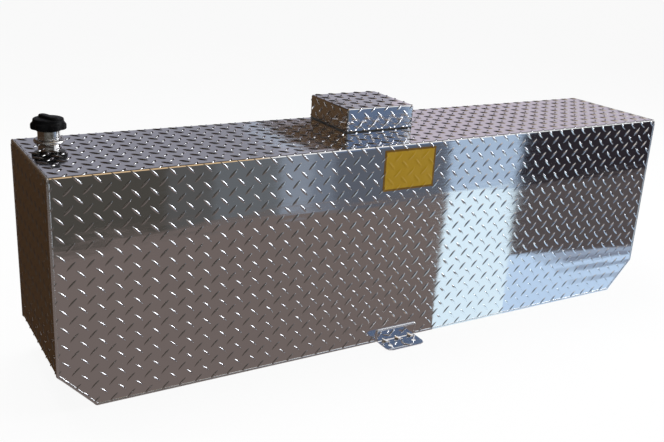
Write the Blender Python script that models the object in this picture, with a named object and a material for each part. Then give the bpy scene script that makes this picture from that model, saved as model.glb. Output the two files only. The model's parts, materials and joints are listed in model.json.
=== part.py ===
"""Auxiliary fuel tank for a pickup bed, in polished tread plate.

One folded sheet makes the front, top and back, and a second one wraps round the left end, the cut
corners, the bottom and the right end. The two are welded along every outside edge. On top stand a
filler neck with a screw cap, and a hinged cover over the gauge, the fuel outlet and the vent.

Metres, +Z up. The front looks along -Y. The origin is on the floor, under the middle of the whole.
"""

import math

import bmesh
import bpy
from mathutils import Matrix, Vector

# Fits
CLEARANCE = 0.0003
CHAMFER = 0.001
RUNNING_GAP = 0.0003

# Tank shell, over the sheets
TANK_WIDTH = 1.524
TANK_DEPTH = 0.290
TANK_HEIGHT = 0.462
CORNER_CUT_WIDTH = 0.072
CORNER_CUT_HEIGHT = 0.077
SHEET = 0.0032
BEND_RADIUS = 0.005

# Welds
SEAM_PROUD = 0.0015
SEAM_FULLNESS = 0.0022
END_PROUD = 0.0006
END_WELD_LEG = 0.004

# Baffles
BAFFLE_SPACING = 0.508
BAFFLE_CROP = 0.035

# Filler neck
NECK_FROM_LEFT = 0.066
NECK_FROM_FRONT = 0.255
NECK_RADIUS = 0.022
NECK_WALL = 0.0025
NECK_RISE = 0.029
NECK_DROP = 0.020
NECK_WELD_WIDTH = 0.008
NECK_WELD_HEIGHT = 0.005
NECK_WELD_FULLNESS = 0.92

# Screw cap
CAP_RIM_RISE = 0.0215
CAP_RIM_FLARE = 0.0012
CAP_SKIRT_WALL = 0.002
CAP_FLANGE_RADIUS = 0.0347
CAP_FLANGE_START = 0.0250
CAP_FLANGE_TOP = 0.0362
CAP_TOP_RADIUS = 0.0298
CAP_TOP_RISE = 0.0448
CAP_LOBES = 7
CAP_LOBE_DEPTH = 0.0036
CAP_TURN_DEG = -30.0
GRIP_LENGTH = 0.052
GRIP_WIDTH = 0.0175
GRIP_TOP_RISE = 0.0500
GRIP_TURN_DEG = -68.0
CAP_GASKET_THICKNESS = 0.002
CAP_PLUG_DEPTH = 0.005
CAP_DISC_THICKNESS = 0.0024
STUD_RADIUS = 0.005
STUD_HEAD_RADIUS = 0.0066
STUD_NECK = 0.0016
STUD_HEAD = 0.0013

# Fittings cover
COVER_WIDTH = 0.176
COVER_DEPTH = 0.166
COVER_RISE = 0.053
COVER_BEND = 0.004
SEAL_WIDTH = 0.004
SEAL_HEIGHT = 0.0024
HOSE_NOTCH_RADIUS = 0.012

# Cover hinge
HINGE_END_GAP = 0.0075
HINGE_LEAF = 0.0011
HINGE_KNUCKLE_RADIUS = 0.0028
HINGE_PIN_RADIUS = 0.0013
HINGE_KNUCKLES = 7
HINGE_LEAF_REACH = 0.020
RIVET_FROM_END = 0.0205
RIVET_INSET = 0.012
RIVET_RADIUS = 0.0016
RIVET_HEAD_RADIUS = 0.003
RIVET_HEAD_HEIGHT = 0.0012

# Float gauge
GAUGE_FROM_FRONT = 0.184
GAUGE_FLANGE_RADIUS = 0.034
GAUGE_FLANGE_THICKNESS = 0.005
GAUGE_GASKET_THICKNESS = 0.002
GAUGE_OPENING_RADIUS = 0.0212
GAUGE_BOLT_CIRCLE_RADIUS = 0.0272
GAUGE_SCREWS = 5
GAUGE_SCREW_RADIUS = 0.0022
GAUGE_SCREW_HEAD_RADIUS = 0.0042
GAUGE_SCREW_HEAD_HEIGHT = 0.0024
GAUGE_SCREW_LENGTH = 0.013
DIAL_HOUSING_RADIUS = 0.0215
DIAL_HOUSING_RISE = 0.0065
DIAL_RADIUS = 0.0190
DIAL_THICKNESS = 0.0008
POINTER_THICKNESS = 0.0008
POINTER_LENGTH = 0.0160
POINTER_TURN_DEG = 270.0
POINTER_EMPTY_DEG = 225.0
LENS_THICKNESS = 0.0016
ROD_RADIUS = 0.0015
ROD_SPACING = 0.028
GUIDE_FOOT_RADIUS = 0.0185
GUIDE_FOOT_THICKNESS = 0.002
GUIDE_FOOT_RISE = 0.012
STRIP_WIDTH = 0.0050
STRIP_THICKNESS = 0.0008
STRIP_JOURNAL_RADIUS = 0.0012
FLOAT_RADIUS = 0.0190
FLOAT_HEIGHT = 0.030
FLOAT_BORE_RADIUS = 0.0042
FLOAT_PLATE_RADIUS = 0.010
FLOAT_PLATE_THICKNESS = 0.001
FLOAT_HEADROOM = 0.0385

# Fuel outlet
OUTLET_FROM_FRONT = 0.252
OUTLET_FROM_VENT = 0.032
OUTLET_AXIS_RISE = 0.024
BUNG_RADIUS = 0.015
BUNG_RISE = 0.010
BUNG_DROP = 0.007
NIPPLE_RADIUS = 0.0090
NIPPLE_LENGTH = 0.008
PIPE_BORE_RADIUS = 0.0062
ELBOW_BEND_RADIUS = 0.012
ELBOW_RADIUS = 0.0105
ELBOW_COLLAR_RADIUS = 0.0125
PICKUP_RADIUS = 0.0056
PICKUP_WALL = 0.0012
PICKUP_FLOOR_GAP = 0.012
SCREEN_RADIUS = 0.011
SCREEN_LENGTH = 0.034
SCREEN_TAPER = 0.004
SCREEN_COLLAR_WALL = 0.0015
VALVE_LENGTH = 0.040
VALVE_BODY_RADIUS = 0.0130
VALVE_END_RADIUS = 0.0115
VALVE_NECK = 0.003
BALL_RADIUS = 0.0090
STEM_RADIUS = 0.0032
STEM_RISE = 0.0205
VALVE_BOSS_RADIUS = 0.0065
VALVE_BOSS_RISE = 0.0145
LEVER_LENGTH = 0.066
LEVER_WIDTH = 0.012
LEVER_THICKNESS = 0.0025
LEVER_NUT_RADIUS = 0.0058
LEVER_NUT_HEIGHT = 0.0034
BARB_COLLAR_LENGTH = 0.006
BARB_LENGTH = 0.026
BARB_RADIUS = 0.0072
BARB_BORE_RADIUS = 0.0046
BARB_RINGS = 3

# Roll-over vent
VENT_FROM_COVER_SIDE = 0.026
VENT_FROM_FRONT = 0.252
VENT_BUNG_RADIUS = 0.0125
VENT_NIPPLE_RADIUS = 0.0068
VENT_COLLAR_RADIUS = 0.0105
VENT_COLLAR_HEIGHT = 0.006
VENT_BARREL_RADIUS = 0.0080
VENT_BARREL_RISE = 0.034
VENT_BORE_RADIUS = 0.0030
VENT_CAP_RADIUS = 0.0110
VENT_CAP_HEIGHT = 0.012
VENT_CAP_WALL = 0.0015

# Foot at the middle of the lower front edge
FOOT_WIDTH = 0.100
FOOT_UPRIGHT = 0.028
FOOT_REACH = 0.050
FOOT_CORNER = 0.012
FOOT_HOLE_RADIUS = 0.0055
FOOT_HOLE_SPACING = 0.064
FOOT_HOLE_FROM_EDGE = 0.021
FOOT_WELD_LEG = 0.0042

# Smoothness
ROUND_STEPS = 32
MIDDLE_ROUND_STEPS = 24
SMALL_ROUND_STEPS = 12
STRIP_STEPS = 44
TINY_ROUND_STEPS = 10
BEND_STEPS = 3
MARGIN = 0.02

# Places worked out from the sizes above
LEFT = -TANK_WIDTH / 2
RIGHT = TANK_WIDTH / 2
HINGE_STAND_OFF = CLEARANCE + 2 * HINGE_KNUCKLE_RADIUS
WHOLE_DEPTH = FOOT_REACH + CLEARANCE + TANK_DEPTH + HINGE_STAND_OFF
FRONT = -WHOLE_DEPTH / 2 + FOOT_REACH + CLEARANCE
BACK = FRONT + TANK_DEPTH
BOTTOM = SEAM_PROUD
TOP = TANK_HEIGHT
INNER_BOTTOM = BOTTOM + SHEET
INNER_TOP = TOP - SHEET

COVER_FRONT = BACK - COVER_DEPTH
SEAL_BASE = TOP + CLEARANCE
COVER_BASE = SEAL_BASE + SEAL_HEIGHT + CLEARANCE
COVER_TOP = TOP + COVER_RISE
HINGE_Y = BACK + CLEARANCE + HINGE_KNUCKLE_RADIUS
HINGE_Z = (TOP + COVER_BASE) / 2
NECK_X = LEFT + NECK_FROM_LEFT
NECK_Y = FRONT + NECK_FROM_FRONT
GAUGE_Y = FRONT + GAUGE_FROM_FRONT
OUTLET_Y = FRONT + OUTLET_FROM_FRONT
OUTLET_Z = TOP + OUTLET_AXIS_RISE
HINGE_LENGTH = COVER_WIDTH - 2 * HINGE_END_GAP
VENT_X = -COVER_WIDTH / 2 + VENT_FROM_COVER_SIDE
OUTLET_X = VENT_X + OUTLET_FROM_VENT
ELBOW_FACE_X = OUTLET_X + ELBOW_BEND_RADIUS + NIPPLE_LENGTH
VALVE_X = ELBOW_FACE_X + VALVE_LENGTH / 2
VALVE_FACE_X = ELBOW_FACE_X + VALVE_LENGTH
VENT_Y = FRONT + VENT_FROM_FRONT

# Finishes: colour, metallic, roughness
TREAD_PLATE = ((0.78, 0.79, 0.81), 1.0, 0.22)
WELD_METAL = ((0.83, 0.84, 0.86), 1.0, 0.30)
POLISHED_TUBE = ((0.80, 0.79, 0.77), 1.0, 0.10)
BLACK_PLASTIC = ((0.012, 0.012, 0.014), 0.0, 0.42)
BLACK_RUBBER = ((0.015, 0.015, 0.015), 0.0, 0.80)
BRASS = ((0.72, 0.53, 0.24), 1.0, 0.28)
STEEL = ((0.60, 0.61, 0.62), 1.0, 0.30)
CLEAR_PLASTIC = ((0.90, 0.93, 0.95), 0.0, 0.05)
WHITE_ENAMEL = ((0.85, 0.85, 0.83), 0.0, 0.40)
RED_PLASTIC = ((0.60, 0.03, 0.02), 0.0, 0.40)
FILTER_MESH = ((0.35, 0.36, 0.36), 0.3, 0.60)


def clear_scene():
    """Remove every object of the file."""
    for obj in list(bpy.data.objects):
        bpy.data.objects.remove(obj, do_unlink=True)


def give_material(obj, finish):
    """Give an object its own material."""
    colour, metallic, roughness = finish
    material = bpy.data.materials.new(obj.name)
    material.use_nodes = True
    shader = material.node_tree.nodes["Principled BSDF"]
    shader.inputs["Base Color"].default_value = (*colour, 1.0)
    shader.inputs["Metallic"].default_value = metallic
    shader.inputs["Roughness"].default_value = roughness
    obj.data.materials.append(material)


def make_object(name, bm, finish=None, place=Matrix.Identity(4)):
    """Turn a closed bmesh into an object whose faces point out."""
    bmesh.ops.remove_doubles(bm, verts=bm.verts, dist=1e-7)
    bmesh.ops.recalc_face_normals(bm, faces=bm.faces)
    mesh = bpy.data.meshes.new(name)
    bm.to_mesh(mesh)
    bm.free()
    mesh.shade_smooth()
    mesh.set_sharp_from_angle(angle=math.radians(35))
    obj = bpy.data.objects.new(name, mesh)
    obj.matrix_world = place
    bpy.context.scene.collection.objects.link(obj)
    if finish:
        give_material(obj, finish)
    return obj


def as_cutter(obj):
    """Keep a guide solid out of the model."""
    obj.hide_render = True
    obj.display_type = "WIRE"
    return obj


def combine(obj, other, operation):
    """Cut, trim or join an object with a guide solid."""
    modifier = obj.modifiers.new(operation.title(), "BOOLEAN")
    modifier.operation = operation
    modifier.solver = "EXACT"
    modifier.object = as_cutter(other)


def bend_points(centre, radius, start, end, steps):
    """Points of an arc between two directions, given as angles in radians."""
    for step in range(steps + 1):
        angle = start + (end - start) * step / steps
        yield Vector((centre[0] + radius * math.cos(angle), centre[1] + radius * math.sin(angle)))


def folded_line(corners, radius, offset, steps=BEND_STEPS):
    """Open line through corners, folded to a radius and moved outwards (to its right)."""
    corners = [Vector(corner) for corner in corners]
    normals = []
    for here, there in zip(corners, corners[1:]):
        run = (there - here).normalized()
        normals.append(Vector((run.y, -run.x)))
    points = [corners[0] + normals[0] * offset]
    for corner, before, after in zip(corners[1:-1], normals, normals[1:]):
        centre = corner - (before + after) / (1 + before.dot(after)) * radius
        start = math.atan2(before.y, before.x)
        turn = math.atan2(before.cross(after), before.dot(after))
        points.extend(bend_points(centre, radius + offset, start, start + turn, steps))
    points.append(corners[-1] + normals[-1] * offset)
    return points


def prism(name, outline, start, end, axis, finish=None):
    """Solid with a flat outline, drawn out along X, Y or Z."""
    def at(point, depth):
        if axis == "X":
            return (depth, point[0], point[1])
        if axis == "Y":
            return (point[0], depth, point[1])
        return (point[0], point[1], depth)

    bm = bmesh.new()
    face = bm.faces.new([bm.verts.new(at(point, start)) for point in outline])
    grown = bmesh.ops.extrude_face_region(bm, geom=[face])
    moved = [item for item in grown["geom"] if isinstance(item, bmesh.types.BMVert)]
    bmesh.ops.translate(bm, verts=moved, vec=Vector(at((0, 0), end - start)))
    return make_object(name, bm, finish)


def box(name, low, high, finish=None):
    """Plain block between two corners."""
    outline = [(low[0], low[1]), (high[0], low[1]), (high[0], high[1]), (low[0], high[1])]
    return prism(name, outline, low[2], high[2], "Z", finish)


def turned(name, profile, centre, axis="Z", steps=ROUND_STEPS, finish=None):
    """Solid of revolution. The profile is a closed line of (radius, height) points."""
    bm = bmesh.new()
    verts = [bm.verts.new((radius, 0.0, height)) for radius, height in profile]
    edges = []
    for here, there in zip(verts, verts[1:] + verts[:1]):
        if here.co.x > 0.0 or there.co.x > 0.0:
            edges.append(bm.edges.new((here, there)))
    bmesh.ops.spin(bm, geom=verts + edges, cent=(0, 0, 0), axis=(0, 0, 1),
                   angle=math.tau, steps=steps, use_merge=True)
    turn = {
        "X": Matrix.Rotation(math.radians(90), 4, "Y"),
        "Y": Matrix.Rotation(math.radians(-90), 4, "X"),
        "Z": Matrix.Identity(4),
    }[axis]
    return make_object(name, bm, finish, Matrix.Translation(centre) @ turn)


def rod(name, centre, axis, radius, start, end, steps=ROUND_STEPS, finish=None):
    """Plain round bar from start to end along its axis."""
    profile = [(0.0, start), (radius, start), (radius, end), (0.0, end)]
    return turned(name, profile, centre, axis, steps, finish)


def swept(name, section, line_at, finish):
    """Solid with a constant section: line_at gives the line that each section point draws."""
    lines = [line_at(point) for point in section]
    bm = bmesh.new()
    rings = [[bm.verts.new(place) for place in line] for line in lines]
    for ring, after in zip(rings, rings[1:] + rings[:1]):
        for k in range(len(ring) - 1):
            bm.faces.new((ring[k], ring[k + 1], after[k + 1], after[k]))
    bm.faces.new([ring[0] for ring in rings])
    bm.faces.new([ring[-1] for ring in reversed(rings)])
    return make_object(name, bm, finish)


def ring_stack(name, rings, finish, closed=True):
    """Skin through rings of points, one after the other, closed back on the first ring."""
    bm = bmesh.new()
    loops = [[bm.verts.new(point) for point in ring] for ring in rings]
    pairs = list(zip(loops, loops[1:] + loops[:1])) if closed else list(zip(loops, loops[1:]))
    for lower, upper in pairs:
        count = len(lower)
        for k in range(count):
            after = (k + 1) % count
            bm.faces.new((lower[k], lower[after], upper[after], upper[k]))
    if not closed:
        bm.faces.new(loops[0])
        bm.faces.new(list(reversed(loops[-1])))
    return make_object(name, bm, finish)


def circle(centre, along, radius, steps):
    """Ring of points square to a direction in the X-Z plane."""
    along = Vector(along).normalized()
    side = Vector((0, 1, 0))
    up = along.cross(side)
    ring = []
    for step in range(steps):
        angle = math.tau * step / steps
        ring.append(Vector(centre) + radius * (math.cos(angle) * side + math.sin(angle) * up))
    return ring


def axis_empty(name, place):
    """Empty on a joint's axis, which carries the pieces that move with it."""
    empty = bpy.data.objects.new(name, None)
    empty.location = place
    bpy.context.scene.collection.objects.link(empty)
    return empty


def carry(empty, *pieces):
    """Parent pieces to a joint's empty without moving them."""
    bpy.context.view_layer.update()
    for piece in pieces:
        piece.parent = empty
        piece.matrix_parent_inverse = empty.matrix_world.inverted()


def front_corners(upper):
    """Corners of the tank seen from the front, down the left, along the bottom, up the right."""
    return [
        (LEFT, upper),
        (LEFT, BOTTOM + CORNER_CUT_HEIGHT),
        (LEFT + CORNER_CUT_WIDTH, BOTTOM),
        (RIGHT - CORNER_CUT_WIDTH, BOTTOM),
        (RIGHT, BOTTOM + CORNER_CUT_HEIGHT),
        (RIGHT, upper),
    ]


def end_corners(lower):
    """Corners of the tank seen from the left end, up the back, over the top, down the front."""
    return [(BACK, lower), (BACK, TOP), (FRONT, TOP), (FRONT, lower)]


def weld_section(proud, fullness):
    """Round bead in the groove between two sheet edges, as (out from one face, in from other)."""
    reach = BEND_RADIUS - CLEARANCE
    radius = fullness + proud
    start = math.asin((reach - fullness) / radius)
    section = list(bend_points((-fullness, fullness), radius, start, -math.pi / 2 - start, 6))
    return section + [Vector((-reach, SHEET)), Vector((-SHEET, reach))]


def build_shell():
    """The two folded sheets of the tank."""
    outer = folded_line(end_corners(BOTTOM), BEND_RADIUS, 0.0)
    inner = folded_line(end_corners(BOTTOM), BEND_RADIUS, -SHEET)
    body = prism("body_sheet", outer + inner[::-1], LEFT, RIGHT, "X", TREAD_PLATE)
    outline = folded_line(front_corners(TOP + MARGIN), BEND_RADIUS, -BEND_RADIUS, 1)
    combine(body, prism("body_outline", outline, FRONT - MARGIN, BACK + MARGIN, "Y"), "INTERSECT")

    neck_hole = rod("neck_hole", (NECK_X, NECK_Y, TOP), "Z", NECK_RADIUS + CLEARANCE,
                    -MARGIN, MARGIN)
    combine(body, neck_hole, "DIFFERENCE")
    bungs = ((OUTLET_X, OUTLET_Y, BUNG_RADIUS), (VENT_X, VENT_Y, VENT_BUNG_RADIUS))
    for number, (x, y, radius) in enumerate(bungs, 1):
        hole = rod(f"bung_hole_{number}", (x, y, TOP), "Z", radius + CLEARANCE, -MARGIN, MARGIN,
                   SMALL_ROUND_STEPS)
        combine(body, hole, "DIFFERENCE")
    combine(body, rod("gauge_hole", (0, GAUGE_Y, TOP), "Z", GAUGE_OPENING_RADIUS,
                      -MARGIN, MARGIN, MIDDLE_ROUND_STEPS), "DIFFERENCE")
    for number, place in enumerate(gauge_screw_places(), 1):
        hole = rod(f"gauge_screw_hole_{number}", (*place, TOP), "Z",
                   GAUGE_SCREW_RADIUS + CLEARANCE, -MARGIN, MARGIN, TINY_ROUND_STEPS)
        combine(body, hole, "DIFFERENCE")
    for number, x in enumerate(rivet_places(), 1):
        hole = rod(f"rivet_hole_{number}", (x, BACK, HINGE_Z - RIVET_INSET), "Y",
                   RIVET_RADIUS + CLEARANCE, -MARGIN, MARGIN, TINY_ROUND_STEPS)
        combine(body, hole, "DIFFERENCE")

    upper = TOP - BEND_RADIUS
    outer = folded_line(front_corners(upper), BEND_RADIUS, 0.0)
    inner = folded_line(front_corners(upper), BEND_RADIUS, -SHEET)
    prism("end_wrapper", outer + inner[::-1], FRONT + BEND_RADIUS, BACK - BEND_RADIUS, "Y",
          TREAD_PLATE)


def build_seams():
    """Welds along all the outside edges."""
    seam_top = TOP - BEND_RADIUS - END_WELD_LEG
    section = weld_section(SEAM_PROUD, SEAM_FULLNESS)
    for name, face, inwards in (("front_seam_weld", FRONT, 1), ("back_seam_weld", BACK, -1)):
        def seam_line(point, face=face, inwards=inwards):
            line = folded_line(front_corners(seam_top - CLEARANCE), BEND_RADIUS, point.x)
            return [(x, face + inwards * point.y, z) for x, z in line]

        seam = swept(name, section, seam_line, WELD_METAL)
        if inwards > 0:
            reach = FOOT_WIDTH / 2 + FOOT_WELD_LEG + 2 * CLEARANCE
            ground = box("seam_ground_flush", (-reach, FRONT - MARGIN, BOTTOM - MARGIN),
                         (reach, FRONT + CLEARANCE, BOTTOM + MARGIN))
            combine(seam, ground, "DIFFERENCE")

    section = weld_section(END_PROUD, SEAM_FULLNESS)
    for name, face, inwards in (("left_top_weld", LEFT, 1), ("right_top_weld", RIGHT, -1)):
        def end_line(point, face=face, inwards=inwards):
            line = folded_line(end_corners(seam_top), BEND_RADIUS, point.x)
            return [(face + inwards * point.y, y, z) for y, z in line]

        swept(name, section, end_line, WELD_METAL)


def build_baffles():
    """Two cross plates with cropped corners, so that fuel passes slowly."""
    low_y = FRONT + SHEET + CLEARANCE
    high_y = BACK - SHEET - CLEARANCE
    low_z = INNER_BOTTOM + CLEARANCE
    high_z = INNER_TOP - CLEARANCE
    outline = [
        (low_y + BAFFLE_CROP, low_z), (high_y - BAFFLE_CROP, low_z),
        (high_y, low_z + BAFFLE_CROP), (high_y, high_z - BAFFLE_CROP),
        (high_y - BAFFLE_CROP, high_z), (low_y + BAFFLE_CROP, high_z),
        (low_y, high_z - BAFFLE_CROP), (low_y, low_z + BAFFLE_CROP),
    ]
    for name, x in (("baffle_left", -BAFFLE_SPACING / 2), ("baffle_right", BAFFLE_SPACING / 2)):
        prism(name, outline, x - SHEET / 2, x + SHEET / 2, "X", POLISHED_TUBE)


def build_neck():
    """Filler neck with its ring weld."""
    bore = NECK_RADIUS - NECK_WALL
    lip = NECK_WALL / 4
    profile = [
        (bore, -NECK_DROP), (NECK_RADIUS, -NECK_DROP), (NECK_RADIUS, NECK_RISE - lip),
        (NECK_RADIUS - lip, NECK_RISE), (bore + lip, NECK_RISE), (bore, NECK_RISE - lip),
    ]
    turned("filler_neck", profile, (NECK_X, NECK_Y, TOP), finish=POLISHED_TUBE)

    root = NECK_RADIUS + CLEARANCE
    base = CLEARANCE
    profile = [(root, base), (root + NECK_WELD_WIDTH, base)]
    for share in (0.25, 0.5, 0.75):
        angle = share * math.pi / 2
        profile.append((root + NECK_WELD_WIDTH * math.cos(angle) * NECK_WELD_FULLNESS,
                        base + NECK_WELD_HEIGHT * math.sin(angle) * NECK_WELD_FULLNESS))
    profile.append((root, base + NECK_WELD_HEIGHT))
    turned("neck_weld", profile, (NECK_X, NECK_Y, TOP), finish=WELD_METAL)


def cap_ring(radius, height, lobes):
    """Ring of the cap, with its edge drawn in between the lobes."""
    steps = CAP_LOBES * 5
    ring = []
    for step in range(steps):
        angle = math.tau * step / steps
        notch = (0.5 - 0.5 * math.cos(CAP_LOBES * angle)) ** 2
        reach = radius - lobes * CAP_LOBE_DEPTH * notch
        ring.append((reach * math.cos(angle), reach * math.sin(angle), height))
    return ring


def build_cap():
    """Black screw cap: outer shell, sealing disc that stays still as it turns, and gasket."""
    gasket_base = NECK_RISE + CLEARANCE
    disc_base = gasket_base + CAP_GASKET_THICKNESS + CLEARANCE
    disc_top = disc_base + CAP_DISC_THICKNESS
    roof = disc_top + CLEARANCE
    cavity = NECK_RADIUS + CLEARANCE
    recess_lip = STUD_RADIUS + 2 * CLEARANCE
    recess = STUD_HEAD_RADIUS + CLEARANCE
    lip_top = roof + STUD_NECK - 2 * CLEARANCE
    recess_top = disc_top + STUD_NECK + STUD_HEAD + CLEARANCE
    skirt = cavity + CAP_SKIRT_WALL
    flange = CAP_FLANGE_RADIUS
    edge = 0.0008
    point = 0.0001
    outer = [
        (skirt, CAP_RIM_RISE, 0.0), (skirt + edge, CAP_RIM_RISE + CAP_RIM_FLARE, 0.0),
        ((skirt + flange) / 2, CAP_FLANGE_START - edge, 0.4), (flange - edge, CAP_FLANGE_START, 1.0),
        (flange, CAP_FLANGE_START + 2 * edge, 1.0), (flange, CAP_FLANGE_TOP - 2 * edge, 1.0),
        (flange - 2 * edge, CAP_FLANGE_TOP, 1.0), (CAP_TOP_RADIUS + edge, CAP_FLANGE_TOP + edge, 0.3),
        (CAP_TOP_RADIUS, CAP_TOP_RISE - edge, 0.0), (CAP_TOP_RADIUS - edge, CAP_TOP_RISE, 0.0),
        (point, CAP_TOP_RISE, 0.0),
    ]
    inner = [
        (point, recess_top, 0.0), (recess, recess_top, 0.0), (recess, lip_top, 0.0),
        (recess_lip, lip_top, 0.0), (recess_lip, roof, 0.0), (cavity, roof, 0.0),
        (cavity, CAP_RIM_RISE, 0.0),
    ]
    shell = ring_stack("cap_shell", [cap_ring(*ring) for ring in outer + inner], BLACK_PLASTIC)
    shell.location = (NECK_X, NECK_Y, TOP)
    shell.rotation_euler.z = math.radians(CAP_TURN_DEG)
    bar = round_bar("cap_grip", GRIP_LENGTH, GRIP_WIDTH, CAP_TOP_RISE - edge, GRIP_TOP_RISE)
    bar.location = shell.location
    bar.rotation_euler.z = math.radians(GRIP_TURN_DEG)
    combine(shell, bar, "UNION")

    plug = NECK_RADIUS - NECK_WALL - 2 * CLEARANCE
    gasket_bore = plug + CLEARANCE
    place = (NECK_X, NECK_Y, TOP)
    disc_radius = cavity - 2 * CLEARANCE
    profile = [
        (0.0, NECK_RISE - CAP_PLUG_DEPTH), (plug - edge, NECK_RISE - CAP_PLUG_DEPTH),
        (plug, NECK_RISE - CAP_PLUG_DEPTH + edge), (plug, disc_base), (disc_radius, disc_base),
        (disc_radius, disc_top), (STUD_RADIUS, disc_top), (STUD_RADIUS, disc_top + STUD_NECK),
        (STUD_HEAD_RADIUS, disc_top + STUD_NECK),
        (STUD_HEAD_RADIUS - edge, disc_top + STUD_NECK + STUD_HEAD),
        (0.0, disc_top + STUD_NECK + STUD_HEAD),
    ]
    disc = turned("cap_disc", profile, place, steps=MIDDLE_ROUND_STEPS, finish=BLACK_PLASTIC)
    profile = [
        (gasket_bore, gasket_base), (disc_radius, gasket_base),
        (disc_radius, gasket_base + CAP_GASKET_THICKNESS),
        (gasket_bore, gasket_base + CAP_GASKET_THICKNESS),
    ]
    gasket = turned("cap_gasket", profile, place, steps=MIDDLE_ROUND_STEPS,
                    finish=BLACK_RUBBER)
    carry(axis_empty("cap_axis", place), shell, bar, disc, gasket)


def round_bar(name, length, width, low, high):
    """Upright bar with round ends and a softened upper edge."""
    outline = []
    half = length / 2 - width / 2
    outline += bend_points((half, 0), width / 2, -math.pi / 2, math.pi / 2, 6)
    outline += bend_points((-half, 0), width / 2, math.pi / 2, 3 * math.pi / 2, 6)
    soften = width / 8
    rings = [[(x, y, low) for x, y in outline], [(x, y, high - soften) for x, y in outline]]
    for share in (0.5, 1.0):
        angle = share * math.pi / 2
        inset = soften * (1 - math.cos(angle))
        shrink_x = (length - 2 * inset) / length
        shrink_y = (width - 2 * inset) / width
        height = high - soften + soften * math.sin(angle)
        rings.append([(x * shrink_x, y * shrink_y, height) for x, y in outline])
    return ring_stack(name, rings, None, closed=False)


def build_cover():
    """Folded cover over the fittings, hinged at the back, on its rubber strip."""
    half = COVER_WIDTH / 2
    bm = bmesh.new()
    bmesh.ops.create_cube(bm, size=1.0)
    size = (COVER_WIDTH, COVER_DEPTH, COVER_TOP - COVER_BASE)
    middle = ((COVER_FRONT + BACK) / 2, (COVER_TOP + COVER_BASE) / 2)
    bmesh.ops.scale(bm, verts=bm.verts, vec=size)
    bmesh.ops.translate(bm, verts=bm.verts, vec=(0, *middle))
    folds = []
    for edge in bm.edges:
        lower = min(vert.co.z for vert in edge.verts)
        upper = max(vert.co.z for vert in edge.verts)
        if lower > middle[1] or upper - lower > size[2] / 2:
            folds.append(edge)
    bmesh.ops.bevel(bm, geom=folds, offset=COVER_BEND, offset_type="OFFSET", segments=3,
                    profile=0.5, affect="EDGES")
    cover = make_object("fittings_cover", bm, TREAD_PLATE)
    hollow = box("cover_hollow", (-half + SHEET, COVER_FRONT + SHEET, COVER_BASE - MARGIN),
                 (half - SHEET, BACK - SHEET, COVER_TOP - SHEET))
    combine(cover, hollow, "DIFFERENCE")

    notch = [(OUTLET_Y + HOSE_NOTCH_RADIUS, TOP), (OUTLET_Y + HOSE_NOTCH_RADIUS, OUTLET_Z)]
    notch += list(bend_points((OUTLET_Y, OUTLET_Z), HOSE_NOTCH_RADIUS, 0.0, math.pi, 8))[1:]
    notch.append((OUTLET_Y - HOSE_NOTCH_RADIUS, TOP))
    combine(cover, prism("hose_notch", notch, half - MARGIN, half + MARGIN, "X"), "DIFFERENCE")
    for number, x in enumerate(rivet_places(), 1):
        hole = rod(f"cover_rivet_hole_{number}", (x, BACK, HINGE_Z + RIVET_INSET), "Y",
                   RIVET_RADIUS + CLEARANCE, -MARGIN, MARGIN, TINY_ROUND_STEPS)
        combine(cover, hole, "DIFFERENCE")

    notch_front = OUTLET_Y - HOSE_NOTCH_RADIUS
    inside = half - SEAL_WIDTH
    inner_front = COVER_FRONT + SEAL_WIDTH
    corner = (half - COVER_BEND, COVER_FRONT + COVER_BEND)
    strip = [(half, notch_front)]
    strip += bend_points(corner, COVER_BEND, 0.0, -math.pi / 2, BEND_STEPS)
    strip += bend_points((-corner[0], corner[1]), COVER_BEND, -math.pi / 2, -math.pi, BEND_STEPS)
    strip += [(-half, BACK - SHEET), (-inside, BACK - SHEET), (-inside, inner_front),
              (inside, inner_front), (inside, notch_front)]
    prism("cover_seal", strip, SEAL_BASE, SEAL_BASE + SEAL_HEIGHT, "Z", BLACK_RUBBER)

    leaf = hinge_leaf("hinge_cover_leaf", 1)
    hinge_leaf("hinge_tank_leaf", 0)
    rod("hinge_pin", (0, HINGE_Y, HINGE_Z), "X", HINGE_PIN_RADIUS, -HINGE_LENGTH / 2,
        HINGE_LENGTH / 2, TINY_ROUND_STEPS, STEEL)
    carried = [cover, leaf]
    for number, x in enumerate(rivet_places(), 1):
        rivet(f"tank_rivet_{number}", x, HINGE_Z - RIVET_INSET)
        carried.append(rivet(f"cover_rivet_{number}", x, HINGE_Z + RIVET_INSET))
    carry(axis_empty("cover_hinge_axis", (0, HINGE_Y, HINGE_Z)), *carried)


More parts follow.
